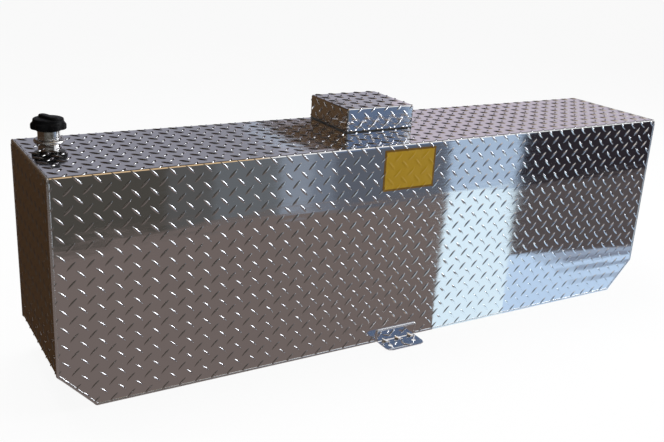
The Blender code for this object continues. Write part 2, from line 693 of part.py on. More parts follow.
def hinge_leaf(name, first):
    """One leaf of the hinge. The leaf on the tank hangs down, the one on the cover stands up."""
    rise = 1 if first else -1
    radius = HINGE_KNUCKLE_RADIUS
    face = HINGE_Y - radius
    start = math.acos(-(radius - HINGE_LEAF) / radius)
    outline = [(face, HINGE_Z + rise * HINGE_LEAF_REACH),
               (face + HINGE_LEAF, HINGE_Z + rise * HINGE_LEAF_REACH)]
    for point in bend_points((0, 0), radius, start, -math.pi, 9):
        outline.append((HINGE_Y + point.x, HINGE_Z + rise * point.y))
    half = HINGE_LENGTH / 2
    leaf = prism(name, outline, -half, half, "X", STEEL)
    bore = rod(name + "_bore", (0, HINGE_Y, HINGE_Z), "X", HINGE_PIN_RADIUS + RUNNING_GAP,
               -half - MARGIN, half + MARGIN, TINY_ROUND_STEPS)
    combine(leaf, bore, "DIFFERENCE")
    segment = HINGE_LENGTH / HINGE_KNUCKLES
    side = radius + RUNNING_GAP
    for number in range(1 - first, HINGE_KNUCKLES, 2):
        left = -half + number * segment - RUNNING_GAP / 2
        if number == 0:
            left -= MARGIN
        right = -half + (number + 1) * segment + RUNNING_GAP / 2
        if number == HINGE_KNUCKLES - 1:
            right += MARGIN
        slot = box(f"{name}_slot_{number}", (left, HINGE_Y - 2 * side, HINGE_Z - side),
                   (right, HINGE_Y + side, HINGE_Z + side))
        combine(leaf, slot, "DIFFERENCE")
    for number, x in enumerate(rivet_places(), 1):
        hole = rod(f"{name}_hole_{number}", (x, BACK, HINGE_Z + rise * RIVET_INSET), "Y",
                   RIVET_RADIUS + CLEARANCE, -MARGIN, MARGIN, TINY_ROUND_STEPS)
        combine(leaf, hole, "DIFFERENCE")
    return leaf


def rivet_places():
    """Places of the hinge rivets along the cover."""
    reach = HINGE_LENGTH / 2 - RIVET_FROM_END
    return (-reach, 0.0, reach)


def rivet(name, x, z):
    """Blind rivet through the hinge leaf and the sheet."""
    head = 2 * CLEARANCE + HINGE_LEAF
    tail = -SHEET - CLEARANCE
    shank = RIVET_RADIUS
    profile = [
        (0.0, tail - RIVET_HEAD_HEIGHT), (shank, tail - RIVET_HEAD_HEIGHT),
        (shank + 2 * CLEARANCE, tail), (shank, tail), (shank, head), (RIVET_HEAD_RADIUS, head),
        (RIVET_HEAD_RADIUS * 0.7, head + RIVET_HEAD_HEIGHT * 0.75),
        (0.0, head + RIVET_HEAD_HEIGHT),
    ]
    return turned(name, profile, (x, BACK, z), "Y", TINY_ROUND_STEPS, STEEL)


def gauge_screw_places():
    """Places of the gauge's screws, evenly round its flange."""
    for number in range(GAUGE_SCREWS):
        angle = math.radians(90) + math.tau * number / GAUGE_SCREWS
        yield (GAUGE_BOLT_CIRCLE_RADIUS * math.cos(angle),
               GAUGE_Y + GAUGE_BOLT_CIRCLE_RADIUS * math.sin(angle))


def build_gauge():
    """Float gauge: the float slides on two rods and turns a twisted strip with the pointer."""
    place = (0, GAUGE_Y, 0)
    gasket_base = TOP + CLEARANCE
    flange_base = gasket_base + GAUGE_GASKET_THICKNESS + CLEARANCE
    flange_top = flange_base + GAUGE_FLANGE_THICKNESS
    housing_top = flange_top + DIAL_HOUSING_RISE
    dial_seat = flange_top - CLEARANCE
    recess = DIAL_RADIUS + CLEARANCE
    journal_bore = STRIP_JOURNAL_RADIUS + RUNNING_GAP
    gasket = turned("gauge_gasket", [
        (GAUGE_OPENING_RADIUS, gasket_base), (GAUGE_FLANGE_RADIUS, gasket_base),
        (GAUGE_FLANGE_RADIUS, gasket_base + GAUGE_GASKET_THICKNESS),
        (GAUGE_OPENING_RADIUS, gasket_base + GAUGE_GASKET_THICKNESS)],
        place, steps=MIDDLE_ROUND_STEPS, finish=BLACK_RUBBER)
    flange = turned("gauge_flange", [
        (journal_bore, flange_base), (GAUGE_FLANGE_RADIUS, flange_base),
        (GAUGE_FLANGE_RADIUS, flange_top), (DIAL_HOUSING_RADIUS, flange_top),
        (DIAL_HOUSING_RADIUS, housing_top), (recess, housing_top), (recess, dial_seat),
        (journal_bore, dial_seat)],
        place, steps=MIDDLE_ROUND_STEPS, finish=STEEL)
    for number, (x, y) in enumerate(gauge_screw_places(), 1):
        for piece in (gasket, flange):
            hole = rod(f"{piece.name}_hole_{number}", (x, y, flange_base), "Z",
                       GAUGE_SCREW_RADIUS + CLEARANCE, -MARGIN, MARGIN, TINY_ROUND_STEPS)
            combine(piece, hole, "DIFFERENCE")
        head = flange_top + CLEARANCE
        turned(f"gauge_screw_{number}", [
            (0.0, head - GAUGE_SCREW_LENGTH), (GAUGE_SCREW_RADIUS, head - GAUGE_SCREW_LENGTH),
            (GAUGE_SCREW_RADIUS, head), (GAUGE_SCREW_HEAD_RADIUS, head),
            (GAUGE_SCREW_HEAD_RADIUS, head + GAUGE_SCREW_HEAD_HEIGHT / 2),
            (GAUGE_SCREW_HEAD_RADIUS * 0.6, head + GAUGE_SCREW_HEAD_HEIGHT),
            (0.0, head + GAUGE_SCREW_HEAD_HEIGHT)], (x, y, 0), "Z", TINY_ROUND_STEPS, STEEL)

    dial_base = dial_seat + CLEARANCE
    turned("gauge_dial", [
        (journal_bore, dial_base), (DIAL_RADIUS, dial_base),
        (DIAL_RADIUS, dial_base + DIAL_THICKNESS), (journal_bore, dial_base + DIAL_THICKNESS)],
        place, steps=MIDDLE_ROUND_STEPS, finish=WHITE_ENAMEL)
    turned("gauge_lens", [
        (0.0, housing_top - LENS_THICKNESS), (DIAL_RADIUS, housing_top - LENS_THICKNESS),
        (DIAL_RADIUS, housing_top), (0.0, housing_top)],
        place, steps=MIDDLE_ROUND_STEPS, finish=CLEAR_PLASTIC)

    foot_base = INNER_BOTTOM + GUIDE_FOOT_RISE
    foot_top = foot_base + GUIDE_FOOT_THICKNESS
    guide_foot = rod("guide_foot", place, "Z", GUIDE_FOOT_RADIUS, foot_base, foot_top,
                     SMALL_ROUND_STEPS, STEEL)
    for side, name in ((-1, "guide_rod_left"), (1, "guide_rod_right")):
        x = side * ROD_SPACING / 2
        rod(name, (x, GAUGE_Y, 0), "Z", ROD_RADIUS, foot_base - GUIDE_FOOT_THICKNESS / 2,
            flange_base - CLEARANCE, TINY_ROUND_STEPS, STEEL)
        combine(guide_foot, rod(name + "_seat", (x, GAUGE_Y, 0), "Z", ROD_RADIUS + CLEARANCE,
                                foot_base - MARGIN, foot_top + MARGIN, TINY_ROUND_STEPS),
                "DIFFERENCE")
    combine(guide_foot, rod("journal_seat", place, "Z", journal_bore, foot_base - MARGIN,
                            foot_top + MARGIN, TINY_ROUND_STEPS), "DIFFERENCE")

    float_base = foot_top + CLEARANCE
    float_top = float_base + FLOAT_HEIGHT
    body = rod("float", place, "Z", FLOAT_RADIUS, float_base, float_top, MIDDLE_ROUND_STEPS,
               BLACK_RUBBER)
    plate_base = float_top + CLEARANCE
    plate_top = plate_base + FLOAT_PLATE_THICKNESS
    travel = INNER_TOP - FLOAT_HEADROOM - plate_top
    plate = rod("float_plate", place, "Z", FLOAT_PLATE_RADIUS, plate_base, plate_top,
                SMALL_ROUND_STEPS, BRASS)
    combine(body, rod("strip_bore", place, "Z", FLOAT_BORE_RADIUS, float_base - MARGIN,
                      float_top + MARGIN, SMALL_ROUND_STEPS), "DIFFERENCE")
    for side in (-1, 1):
        combine(body, rod(f"rod_bore_{side}", (side * ROD_SPACING / 2, GAUGE_Y, 0), "Z",
                          ROD_RADIUS + 2 * RUNNING_GAP, float_base - MARGIN, float_top + MARGIN,
                          TINY_ROUND_STEPS), "DIFFERENCE")

    strip_low = foot_top + 2 * CLEARANCE
    strip_high = plate_top + travel + FLOAT_HEADROOM / 4
    twist_rate = math.radians(POINTER_TURN_DEG) / travel
    plate_middle = (plate_base + plate_top) / 2
    strip = twisted_strip("twist_strip", strip_low, strip_high, twist_rate, plate_middle)
    pointer_base = dial_base + DIAL_THICKNESS + 2 * CLEARANCE
    for number, (low, high) in enumerate((
            (foot_base - GUIDE_FOOT_THICKNESS / 2, strip_low + FLOAT_PLATE_THICKNESS),
            (strip_high - FLOAT_PLATE_THICKNESS, pointer_base + POINTER_THICKNESS))):
        journal = rod(f"strip_journal_{number}", place, "Z", STRIP_JOURNAL_RADIUS, low, high, 8)
        combine(strip, journal, "UNION")
    slot_x = STRIP_WIDTH / 2 + 2 * RUNNING_GAP
    slot_y = STRIP_THICKNESS / 2 + 2 * RUNNING_GAP
    slot = box("strip_slot", (-slot_x, GAUGE_Y - slot_y, plate_base - MARGIN),
               (slot_x, GAUGE_Y + slot_y, plate_top + MARGIN))
    combine(plate, slot, "DIFFERENCE")

    tail = POINTER_LENGTH / 3
    hub = STRIP_JOURNAL_RADIUS + 0.0018
    outline = [(-tail, -hub / 2), (0, -hub), (POINTER_LENGTH, -0.0004), (POINTER_LENGTH, 0.0004),
               (0, hub), (-tail, hub / 2)]
    pointer = prism("gauge_pointer", outline, 0.0, POINTER_THICKNESS, "Z", RED_PLASTIC)
    pointer.location = (0, GAUGE_Y, pointer_base)
    pointer.rotation_euler.z = math.radians(POINTER_EMPTY_DEG)
    hole = rod("pointer_hole", (0, 0, 0), "Z", STRIP_JOURNAL_RADIUS + CLEARANCE / 2, -MARGIN,
               MARGIN, 8)
    hole.location = pointer.location
    combine(pointer, hole, "DIFFERENCE")
    carry(axis_empty("float_axis", (0, GAUGE_Y, float_base)), body, plate)
    carry(axis_empty("pointer_axis", (0, GAUGE_Y, pointer_base)), strip, pointer, hole)


def twisted_strip(name, low, high, rate, level):
    """Thin strip twisted at an even rate, its width along X at the given level."""
    steps = STRIP_STEPS
    rings = []
    for step in range(steps + 1):
        z = low + (high - low) * step / steps
        angle = (z - level) * rate
        across = Vector((math.cos(angle), math.sin(angle), 0)) * STRIP_WIDTH / 2
        through = Vector((-math.sin(angle), math.cos(angle), 0)) * STRIP_THICKNESS / 2
        middle = Vector((0, GAUGE_Y, z))
        rings.append([middle - across - through, middle + across - through,
                      middle + across + through, middle - across + through])
    return ring_stack(name, rings, BRASS, closed=False)


def build_outlet():
    """Fuel outlet: bung, pickup tube, elbow, ball valve and hose barb."""
    socket = NIPPLE_RADIUS + CLEARANCE
    place = (OUTLET_X, OUTLET_Y, TOP)
    turned("outlet_bung", [
        (socket, -BUNG_DROP), (BUNG_RADIUS, -BUNG_DROP), (BUNG_RADIUS, BUNG_RISE),
        (socket, BUNG_RISE)], place, steps=SMALL_ROUND_STEPS, finish=POLISHED_TUBE)

    bore = PIPE_BORE_RADIUS
    steps = SMALL_ROUND_STEPS
    nipple_end = TOP + BUNG_RISE - NIPPLE_LENGTH
    shoulder = TOP + BUNG_RISE + CLEARANCE
    centre = Vector((OUTLET_X + ELBOW_BEND_RADIUS, OUTLET_Y, OUTLET_Z - ELBOW_BEND_RADIUS))
    up = (0, 0, 1)
    right = (1, 0, 0)
    bend = []
    for step in range(6):
        angle = math.pi - math.pi / 2 * step / 5
        spot = centre + ELBOW_BEND_RADIUS * Vector((math.cos(angle), 0, math.sin(angle)))
        bend.append((spot, (math.sin(angle), 0, -math.cos(angle))))
    start = (OUTLET_X, OUTLET_Y, nipple_end)
    step_up = (OUTLET_X, OUTLET_Y, shoulder)
    bend_end = (centre.x, OUTLET_Y, OUTLET_Z)
    face = (ELBOW_FACE_X, OUTLET_Y, OUTLET_Z)
    rings = [circle(start, up, NIPPLE_RADIUS, steps), circle(step_up, up, NIPPLE_RADIUS, steps),
             circle(step_up, up, ELBOW_RADIUS, steps)]
    rings += [circle(spot, along, ELBOW_RADIUS, steps) for spot, along in bend]
    rings += [circle(bend_end, right, ELBOW_COLLAR_RADIUS, steps),
              circle(face, right, ELBOW_COLLAR_RADIUS, steps),
              circle(face, right, socket, steps), circle(bend_end, right, socket, steps)]
    rings += [circle(spot, along, bore, steps) for spot, along in reversed(bend)]
    rings.append(circle(start, up, bore, steps))
    ring_stack("outlet_elbow", rings, BRASS)

    tube_low = INNER_BOTTOM + PICKUP_FLOOR_GAP
    tube_high = nipple_end + NIPPLE_LENGTH / 2
    turned("pickup_tube", [
        (PICKUP_RADIUS - PICKUP_WALL, tube_low), (PICKUP_RADIUS, tube_low),
        (PICKUP_RADIUS, tube_high), (PICKUP_RADIUS - PICKUP_WALL, tube_high)],
        (OUTLET_X, OUTLET_Y, 0), steps=SMALL_ROUND_STEPS, finish=POLISHED_TUBE)
    screen_low = INNER_BOTTOM + PICKUP_FLOOR_GAP / 3
    screen_high = screen_low + SCREEN_LENGTH
    sleeve = PICKUP_RADIUS + CLEARANCE
    turned("pickup_screen", [
        (0.0, screen_low), (SCREEN_RADIUS - CHAMFER, screen_low),
        (SCREEN_RADIUS, screen_low + CHAMFER), (SCREEN_RADIUS, screen_high - SCREEN_TAPER),
        (sleeve + SCREEN_COLLAR_WALL, screen_high), (sleeve, screen_high), (sleeve, tube_low - CLEARANCE),
        (0.0, tube_low - CLEARANCE)],
        (OUTLET_X, OUTLET_Y, 0), steps=SMALL_ROUND_STEPS, finish=FILTER_MESH)

    half = VALVE_LENGTH / 2
    end = VALVE_END_RADIUS
    neck = half - NIPPLE_LENGTH - VALVE_NECK
    place = (VALVE_X, OUTLET_Y, OUTLET_Z)
    body = turned("valve_body", [
        (0.0, -half - NIPPLE_LENGTH + 2 * CLEARANCE),
        (NIPPLE_RADIUS, -half - NIPPLE_LENGTH + 2 * CLEARANCE), (NIPPLE_RADIUS, -half + CLEARANCE),
        (end, -half + CLEARANCE), (end, -neck), (VALVE_BODY_RADIUS, -neck + VALVE_NECK),
        (VALVE_BODY_RADIUS, neck - VALVE_NECK), (end, neck), (end, half), (0.0, half)],
        place, "X", SMALL_ROUND_STEPS, BRASS)
    combine(body, rod("valve_boss", place, "Z", VALVE_BOSS_RADIUS, 0.0, VALVE_BOSS_RISE,
                      SMALL_ROUND_STEPS), "UNION")
    cavity = BALL_RADIUS + 2 * CLEARANCE
    seat = math.sqrt(cavity ** 2 - bore ** 2)
    low = -half - NIPPLE_LENGTH - MARGIN
    passage = [(0.0, low), (bore, low)]
    passage += ball_profile(cavity, seat)
    passage += [(bore, half - NIPPLE_LENGTH), (socket, half - NIPPLE_LENGTH),
                (socket, half + MARGIN), (0.0, half + MARGIN)]
    combine(body, turned("valve_passage", passage, place, "X", SMALL_ROUND_STEPS), "DIFFERENCE")
    combine(body, rod("stem_bore", place, "Z", STEM_RADIUS + CLEARANCE, 0.0,
                      VALVE_BOSS_RISE + MARGIN, TINY_ROUND_STEPS), "DIFFERENCE")
    seat = math.sqrt(BALL_RADIUS ** 2 - (bore - CLEARANCE) ** 2)
    ball = turned("valve_ball", ball_profile(BALL_RADIUS, seat), place, "X", SMALL_ROUND_STEPS,
                  STEEL)

    stem = rod("valve_stem", place, "Z", STEM_RADIUS, cavity + CLEARANCE, STEM_RISE,
               TINY_ROUND_STEPS, BRASS)
    lever_low = VALVE_BOSS_RISE + CLEARANCE
    hub = LEVER_WIDTH / 2
    outline = list(bend_points((0, 0), hub, -math.pi / 2, math.pi / 2, 8))
    outline += bend_points((2 * hub - LEVER_LENGTH, 0), hub, math.pi / 2, 3 * math.pi / 2, 8)
    lever = prism("valve_lever", outline, lever_low, lever_low + LEVER_THICKNESS, "Z", STEEL)
    lever.location = place
    hole = rod("lever_hole", place, "Z", STEM_RADIUS + CLEARANCE, lever_low - MARGIN,
               lever_low + MARGIN, TINY_ROUND_STEPS)
    combine(lever, hole, "DIFFERENCE")
    nut_low = lever_low + LEVER_THICKNESS + CLEARANCE
    nut = prism("lever_nut", list(bend_points((0, 0), LEVER_NUT_RADIUS, 0.0, math.tau, 6))[:-1],
                nut_low, nut_low + LEVER_NUT_HEIGHT, "Z", STEEL)
    nut.location = place
    thread = rod("nut_thread", place, "Z", STEM_RADIUS + CLEARANCE, lever_low - MARGIN,
                 lever_low + MARGIN, TINY_ROUND_STEPS)
    combine(nut, thread, "DIFFERENCE")
    carry(axis_empty("valve_axis", place), ball, stem, lever, hole, nut, thread)

    barb = [(BARB_BORE_RADIUS, -NIPPLE_LENGTH + 2 * CLEARANCE),
            (NIPPLE_RADIUS, -NIPPLE_LENGTH + 2 * CLEARANCE), (NIPPLE_RADIUS, CLEARANCE),
            (VALVE_END_RADIUS, CLEARANCE), (VALVE_END_RADIUS, BARB_COLLAR_LENGTH)]
    pitch = BARB_LENGTH / BARB_RINGS
    for number in range(BARB_RINGS):
        low = BARB_COLLAR_LENGTH + number * pitch
        barb += [(BARB_RADIUS - CHAMFER, low), (BARB_RADIUS - CHAMFER, low + pitch * 0.3),
                 (BARB_RADIUS, low + pitch * 0.35)]
    barb_end = BARB_COLLAR_LENGTH + BARB_LENGTH
    barb += [(BARB_RADIUS - CHAMFER, barb_end), (BARB_BORE_RADIUS, barb_end)]
    turned("hose_barb", barb, (VALVE_FACE_X, OUTLET_Y, OUTLET_Z), "X", SMALL_ROUND_STEPS, BRASS)


def ball_profile(radius, seat):
    """Line of a ball from one bore mouth to the other, as (radius, height) points."""
    start = math.asin(seat / radius)
    points = []
    for point in bend_points((0, 0), radius, -start, start, 8):
        points.append((point.x, point.y))
    return points


def build_vent():
    """Roll-over vent in its own bung."""
    place = (VENT_X, VENT_Y, TOP)
    socket = VENT_NIPPLE_RADIUS + CLEARANCE
    turned("vent_bung", [
        (socket, -BUNG_DROP), (VENT_BUNG_RADIUS, -BUNG_DROP), (VENT_BUNG_RADIUS, BUNG_RISE),
        (socket, BUNG_RISE)], place, steps=SMALL_ROUND_STEPS, finish=POLISHED_TUBE)
    collar_low = BUNG_RISE + CLEARANCE
    collar_high = collar_low + VENT_COLLAR_HEIGHT
    turned("vent_valve", [
        (VENT_BORE_RADIUS, -BUNG_DROP), (VENT_NIPPLE_RADIUS, -BUNG_DROP),
        (VENT_NIPPLE_RADIUS, collar_low), (VENT_COLLAR_RADIUS, collar_low),
        (VENT_COLLAR_RADIUS, collar_high), (VENT_BARREL_RADIUS, collar_high),
        (VENT_BARREL_RADIUS, VENT_BARREL_RISE - CHAMFER),
        (VENT_BARREL_RADIUS - CHAMFER, VENT_BARREL_RISE), (VENT_BORE_RADIUS, VENT_BARREL_RISE)],
        place, steps=SMALL_ROUND_STEPS, finish=BRASS)
    hood = VENT_BARREL_RADIUS + CLEARANCE
    roof = VENT_BARREL_RISE + CLEARANCE
    low = roof + VENT_CAP_WALL - VENT_CAP_HEIGHT
    turned("vent_cap", [
        (0.0, roof), (hood, roof), (hood, low), (VENT_CAP_RADIUS, low),
        (VENT_CAP_RADIUS, roof + VENT_CAP_WALL - CHAMFER),
        (VENT_CAP_RADIUS - CHAMFER, roof + VENT_CAP_WALL), (0.0, roof + VENT_CAP_WALL)],
        place, steps=SMALL_ROUND_STEPS, finish=BLACK_PLASTIC)


def build_foot():
    """Folded foot with two bolt holes, welded to the lower front edge."""
    rear = FRONT - CLEARANCE
    front = rear - FOOT_REACH
    half = FOOT_WIDTH / 2
    corners = [(front, 0.0), (rear, 0.0), (rear, FOOT_UPRIGHT)]
    inner = folded_line(corners, BEND_RADIUS, -SHEET)
    outer = folded_line(corners, BEND_RADIUS, 0.0)
    foot = prism("foot_bracket", outer + inner[::-1], -half, half, "X", TREAD_PLATE)
    for side in (-1, 1):
        corner = [(side * half - side * FOOT_CORNER, front - MARGIN),
                  (side * (half + MARGIN), front - MARGIN),
                  (side * (half + MARGIN), front + FOOT_CORNER),
                  (side * half, front + FOOT_CORNER),
                  (side * (half - FOOT_CORNER * 0.3), front + FOOT_CORNER * 0.3),
                  (side * (half - FOOT_CORNER), front)]
        combine(foot, prism(f"foot_corner_{side}", corner, -MARGIN, MARGIN, "Z"), "DIFFERENCE")
        x = side * FOOT_HOLE_SPACING / 2
        combine(foot, rod(f"foot_hole_{side}", (x, front + FOOT_HOLE_FROM_EDGE, 0), "Z",
                          FOOT_HOLE_RADIUS, -MARGIN, MARGIN, SMALL_ROUND_STEPS), "DIFFERENCE")

    leg = FOOT_WELD_LEG
    section = [Vector((CLEARANCE, CLEARANCE)), Vector((leg, CLEARANCE)),
               Vector((leg * 0.9, leg * 0.35)), Vector((leg * 0.6, leg * 0.65)),
               Vector((CLEARANCE, SHEET))]
    low = BEND_RADIUS + CLEARANCE

    def weld_line(point):
        line = [(-half - point.x, low), (-half - point.x, FOOT_UPRIGHT + point.x),
                (half + point.x, FOOT_UPRIGHT + point.x), (half + point.x, low)]
        return [(x, FRONT - point.y, z) for x, z in line]

    swept("foot_weld", section, weld_line, WELD_METAL)


def main():
    clear_scene()
    build_shell()
    build_seams()
    build_baffles()
    build_neck()
    build_cap()
    build_cover()
    build_gauge()
    build_outlet()
    build_vent()
    build_foot()


main()
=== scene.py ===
"""Looks of the auxiliary fuel tank: tread plate, rippled welds, filler cap, label and studio.

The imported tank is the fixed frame. Every piece made here lies on it, in metres, in the same frame.
"""
from __future__ import annotations

import json
import logging
import math
from collections.abc import Callable, Iterable, Iterator, Sequence
from contextlib import contextmanager
from dataclasses import dataclass, field
from enum import Enum
from typing import ClassVar

import bmesh
import bpy
import numpy as np
from bpy.types import Material, Node, NodeSocket, NodeTree, Object
from mathutils import Matrix, Vector

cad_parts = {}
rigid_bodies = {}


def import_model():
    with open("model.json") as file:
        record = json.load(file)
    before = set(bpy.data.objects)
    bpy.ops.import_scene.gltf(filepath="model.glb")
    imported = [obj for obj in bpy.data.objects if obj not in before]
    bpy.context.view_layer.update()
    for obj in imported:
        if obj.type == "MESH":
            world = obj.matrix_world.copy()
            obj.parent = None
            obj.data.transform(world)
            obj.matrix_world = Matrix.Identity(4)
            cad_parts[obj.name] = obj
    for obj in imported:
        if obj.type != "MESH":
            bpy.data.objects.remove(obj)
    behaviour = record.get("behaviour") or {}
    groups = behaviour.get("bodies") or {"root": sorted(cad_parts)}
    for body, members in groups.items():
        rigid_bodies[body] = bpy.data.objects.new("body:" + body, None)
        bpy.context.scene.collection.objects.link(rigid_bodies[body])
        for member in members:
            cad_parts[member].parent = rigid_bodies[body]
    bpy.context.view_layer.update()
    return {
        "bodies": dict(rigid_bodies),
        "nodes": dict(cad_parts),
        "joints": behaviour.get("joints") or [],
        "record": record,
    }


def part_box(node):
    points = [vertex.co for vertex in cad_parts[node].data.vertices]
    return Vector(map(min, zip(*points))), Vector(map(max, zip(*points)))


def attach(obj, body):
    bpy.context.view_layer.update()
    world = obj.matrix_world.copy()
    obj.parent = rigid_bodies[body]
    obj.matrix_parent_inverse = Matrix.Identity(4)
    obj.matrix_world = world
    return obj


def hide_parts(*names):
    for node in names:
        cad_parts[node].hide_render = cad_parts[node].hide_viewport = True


LOG = logging.getLogger("tank")

Pair = tuple[float, float]
Colour = tuple[float, float, float]
Point = tuple[float, float, float]
FlatMap = Callable[[np.ndarray], np.ndarray]
Value = float | tuple[float, ...] | NodeSocket

# Places on the tank, in metres, as its source has them
LEFT, RIGHT = -0.762, 0.762
FRONT, BACK = -0.1228, 0.1672
BOTTOM, TOP = 0.0015, 0.462
CUT_WIDTH, CUT_HEIGHT = 0.072, 0.077
BEND = 0.005

# The camera of the photograph
CAMERA_PLACE = Vector((-1.08188, -1.58914, 0.91417))
CAMERA_RIGHT = Vector((0.86239494, -0.50322873, 0.0550983))
CAMERA_AHEAD = Vector((0.49124697, 0.80559994, -0.33118747))
CAMERA_LENS, SENSOR_WIDTH = 47.38, 36.0
WHITE = (1.0, 1.0, 1.0)


class Body(str, Enum):
    """What a piece moves with."""

    TANK = "tank"
    CAP = "cap_shell"
    COVER = "cover"


class Slot(str, Enum):
    """The record's names of the finishes."""

    PLATE = "tread_plate"
    WELD = "weld_metal"
    ALUMINIUM = "plain_aluminium"
    PLASTIC = "black_plastic"
    RUBBER = "black_rubber"
    FOAM = "float_foam"
    BRASS = "brass"
    STEEL = "steel"
    CLEAR = "clear_plastic"
    ENAMEL = "white_enamel"
    RED = "red_plastic"
    MESH = "filter_mesh"


class Mirror(Enum):
    """Which flat face of the tank mirrors a card."""

    FRONT = "front"
    TOP = "top"


# Editing by hand: selecting, starting shapes, modifiers and joining


def deselect() -> None:
    """Leave edit mode and select nothing."""
    active = bpy.context.view_layer.objects.active
    if active is not None and active.mode != "OBJECT":
        bpy.ops.object.mode_set(mode="OBJECT")
    bpy.ops.object.select_all(action="DESELECT")


def activate(obj: Object) -> None:
    """Select one object alone and make it the active one."""
    deselect()
    obj.select_set(True)
    bpy.context.view_layer.objects.active = obj


@contextmanager
def editing(obj: Object, kind: str = "VERT") -> Iterator[bmesh.types.BMesh]:
    """Edit an object's mesh, then go back to object mode.

    Args:
        obj: The object to edit.
        kind: What is selected: VERT, EDGE or FACE.
    """
    activate(obj)
    bpy.ops.object.mode_set(mode="EDIT")
    bpy.ops.mesh.select_mode(type=kind)
    bpy.ops.mesh.select_all(action="SELECT")
    yield bmesh.from_edit_mesh(obj.data)
    bpy.ops.object.mode_set(mode="OBJECT")


def choose(obj: Object, items: Iterable, wanted: Callable[[object], bool]) -> None:
    """Select only the wanted vertices, edges or faces in edit mode.

    Args:
        obj: The object that is being edited.
        items: The vertices, edges or faces to look through.
        wanted: Says whether an item is selected.
    """
    bpy.ops.mesh.select_all(action="DESELECT")
    for item in items:
        if wanted(item):
            item.select_set(True)
    bm = bmesh.from_edit_mesh(obj.data)
    bm.select_flush_mode()
    bmesh.update_edit_mesh(obj.data)


def primitive(name: str, kind: str, **settings) -> Object:
    """Add one of the starting shapes and name it.

    Args:
        name: Name of the new piece.
        kind: Name of the operator, without primitive_ and _add.
        settings: The operator's own settings.

    Returns:
        The new object.
    """
    deselect()
    getattr(bpy.ops.mesh, f"primitive_{kind}_add")(**settings)
    obj = bpy.context.view_layer.objects.active
    obj.name = name
    obj.data.name = name
    return obj


def settle(obj: Object) -> Object:
    """Put an object's place, turn and size into its mesh, and give it back."""
    activate(obj)
    bpy.ops.object.transform_apply(location=True, rotation=True, scale=True)
    return obj


def finish_with(obj: Object, kind: str, **settings) -> None:
    """Add a modifier and apply it.

    Args:
        obj: The object to shape.
        kind: The modifier's kind.
        settings: The modifier's own settings.
    """
    activate(obj)
    modifier = obj.modifiers.new(kind.title(), kind)
    for key, value in settings.items():
        setattr(modifier, key, value)
    bpy.ops.object.modifier_apply(modifier=modifier.name)


def join(name: str, pieces: Sequence[Object]) -> Object:
    """Join several objects into the first one.

    Args:
        name: Name of the joined piece.
        pieces: The objects to join.

    Returns:
        The joined object.
    """
    deselect()
    for piece in pieces:
        piece.select_set(True)
    bpy.context.view_layer.objects.active = pieces[0]
    if len(pieces) > 1:
        bpy.ops.object.join()
    joined = pieces[0]
    joined.name = joined.data.name = name
    return joined


def read_points(obj: Object) -> np.ndarray:
    """Return an object's vertices as an array of rows."""
    points = np.zeros(len(obj.data.vertices) * 3, np.float32)
    obj.data.vertices.foreach_get("co", points)
    return points.reshape(-1, 3).astype(float)


def write_points(obj: Object, points: np.ndarray) -> None:
    """Move an object's vertices to new places, one row a vertex."""
    obj.data.vertices.foreach_set("co", points.astype(np.float32).ravel())
    obj.data.update()


def wrap(obj: Object, flat_map: FlatMap) -> Object:
    """Lay a flat piece, made across, along and out, on the tank, and give it back."""
    write_points(obj, flat_map(read_points(obj)))
    return obj


def node_box(node: str) -> tuple[Point, Point]:
    """Read a node's lowest and highest corner from the frame, to the micrometre."""
    low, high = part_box(node)
    return tuple(round(value, 6) for value in low), tuple(round(value, 6) for value in high)


def node_middle(node: str) -> Pair:
    """Read where a node's middle is, seen from above."""
    low, high = node_box(node)
    return (low[0] + high[0]) / 2, (low[1] + high[1]) / 2


# Folded lines of the sheets, along which flat pieces are laid


@dataclass(frozen=True)
class Stretch:
    """One straight or bent stretch of a folded line.

    Its turn is to the left where it is above zero, and zero where it is straight.
    """

    start: float
    length: float
    origin: Pair
    heading: float
    turn: float
    radius: float


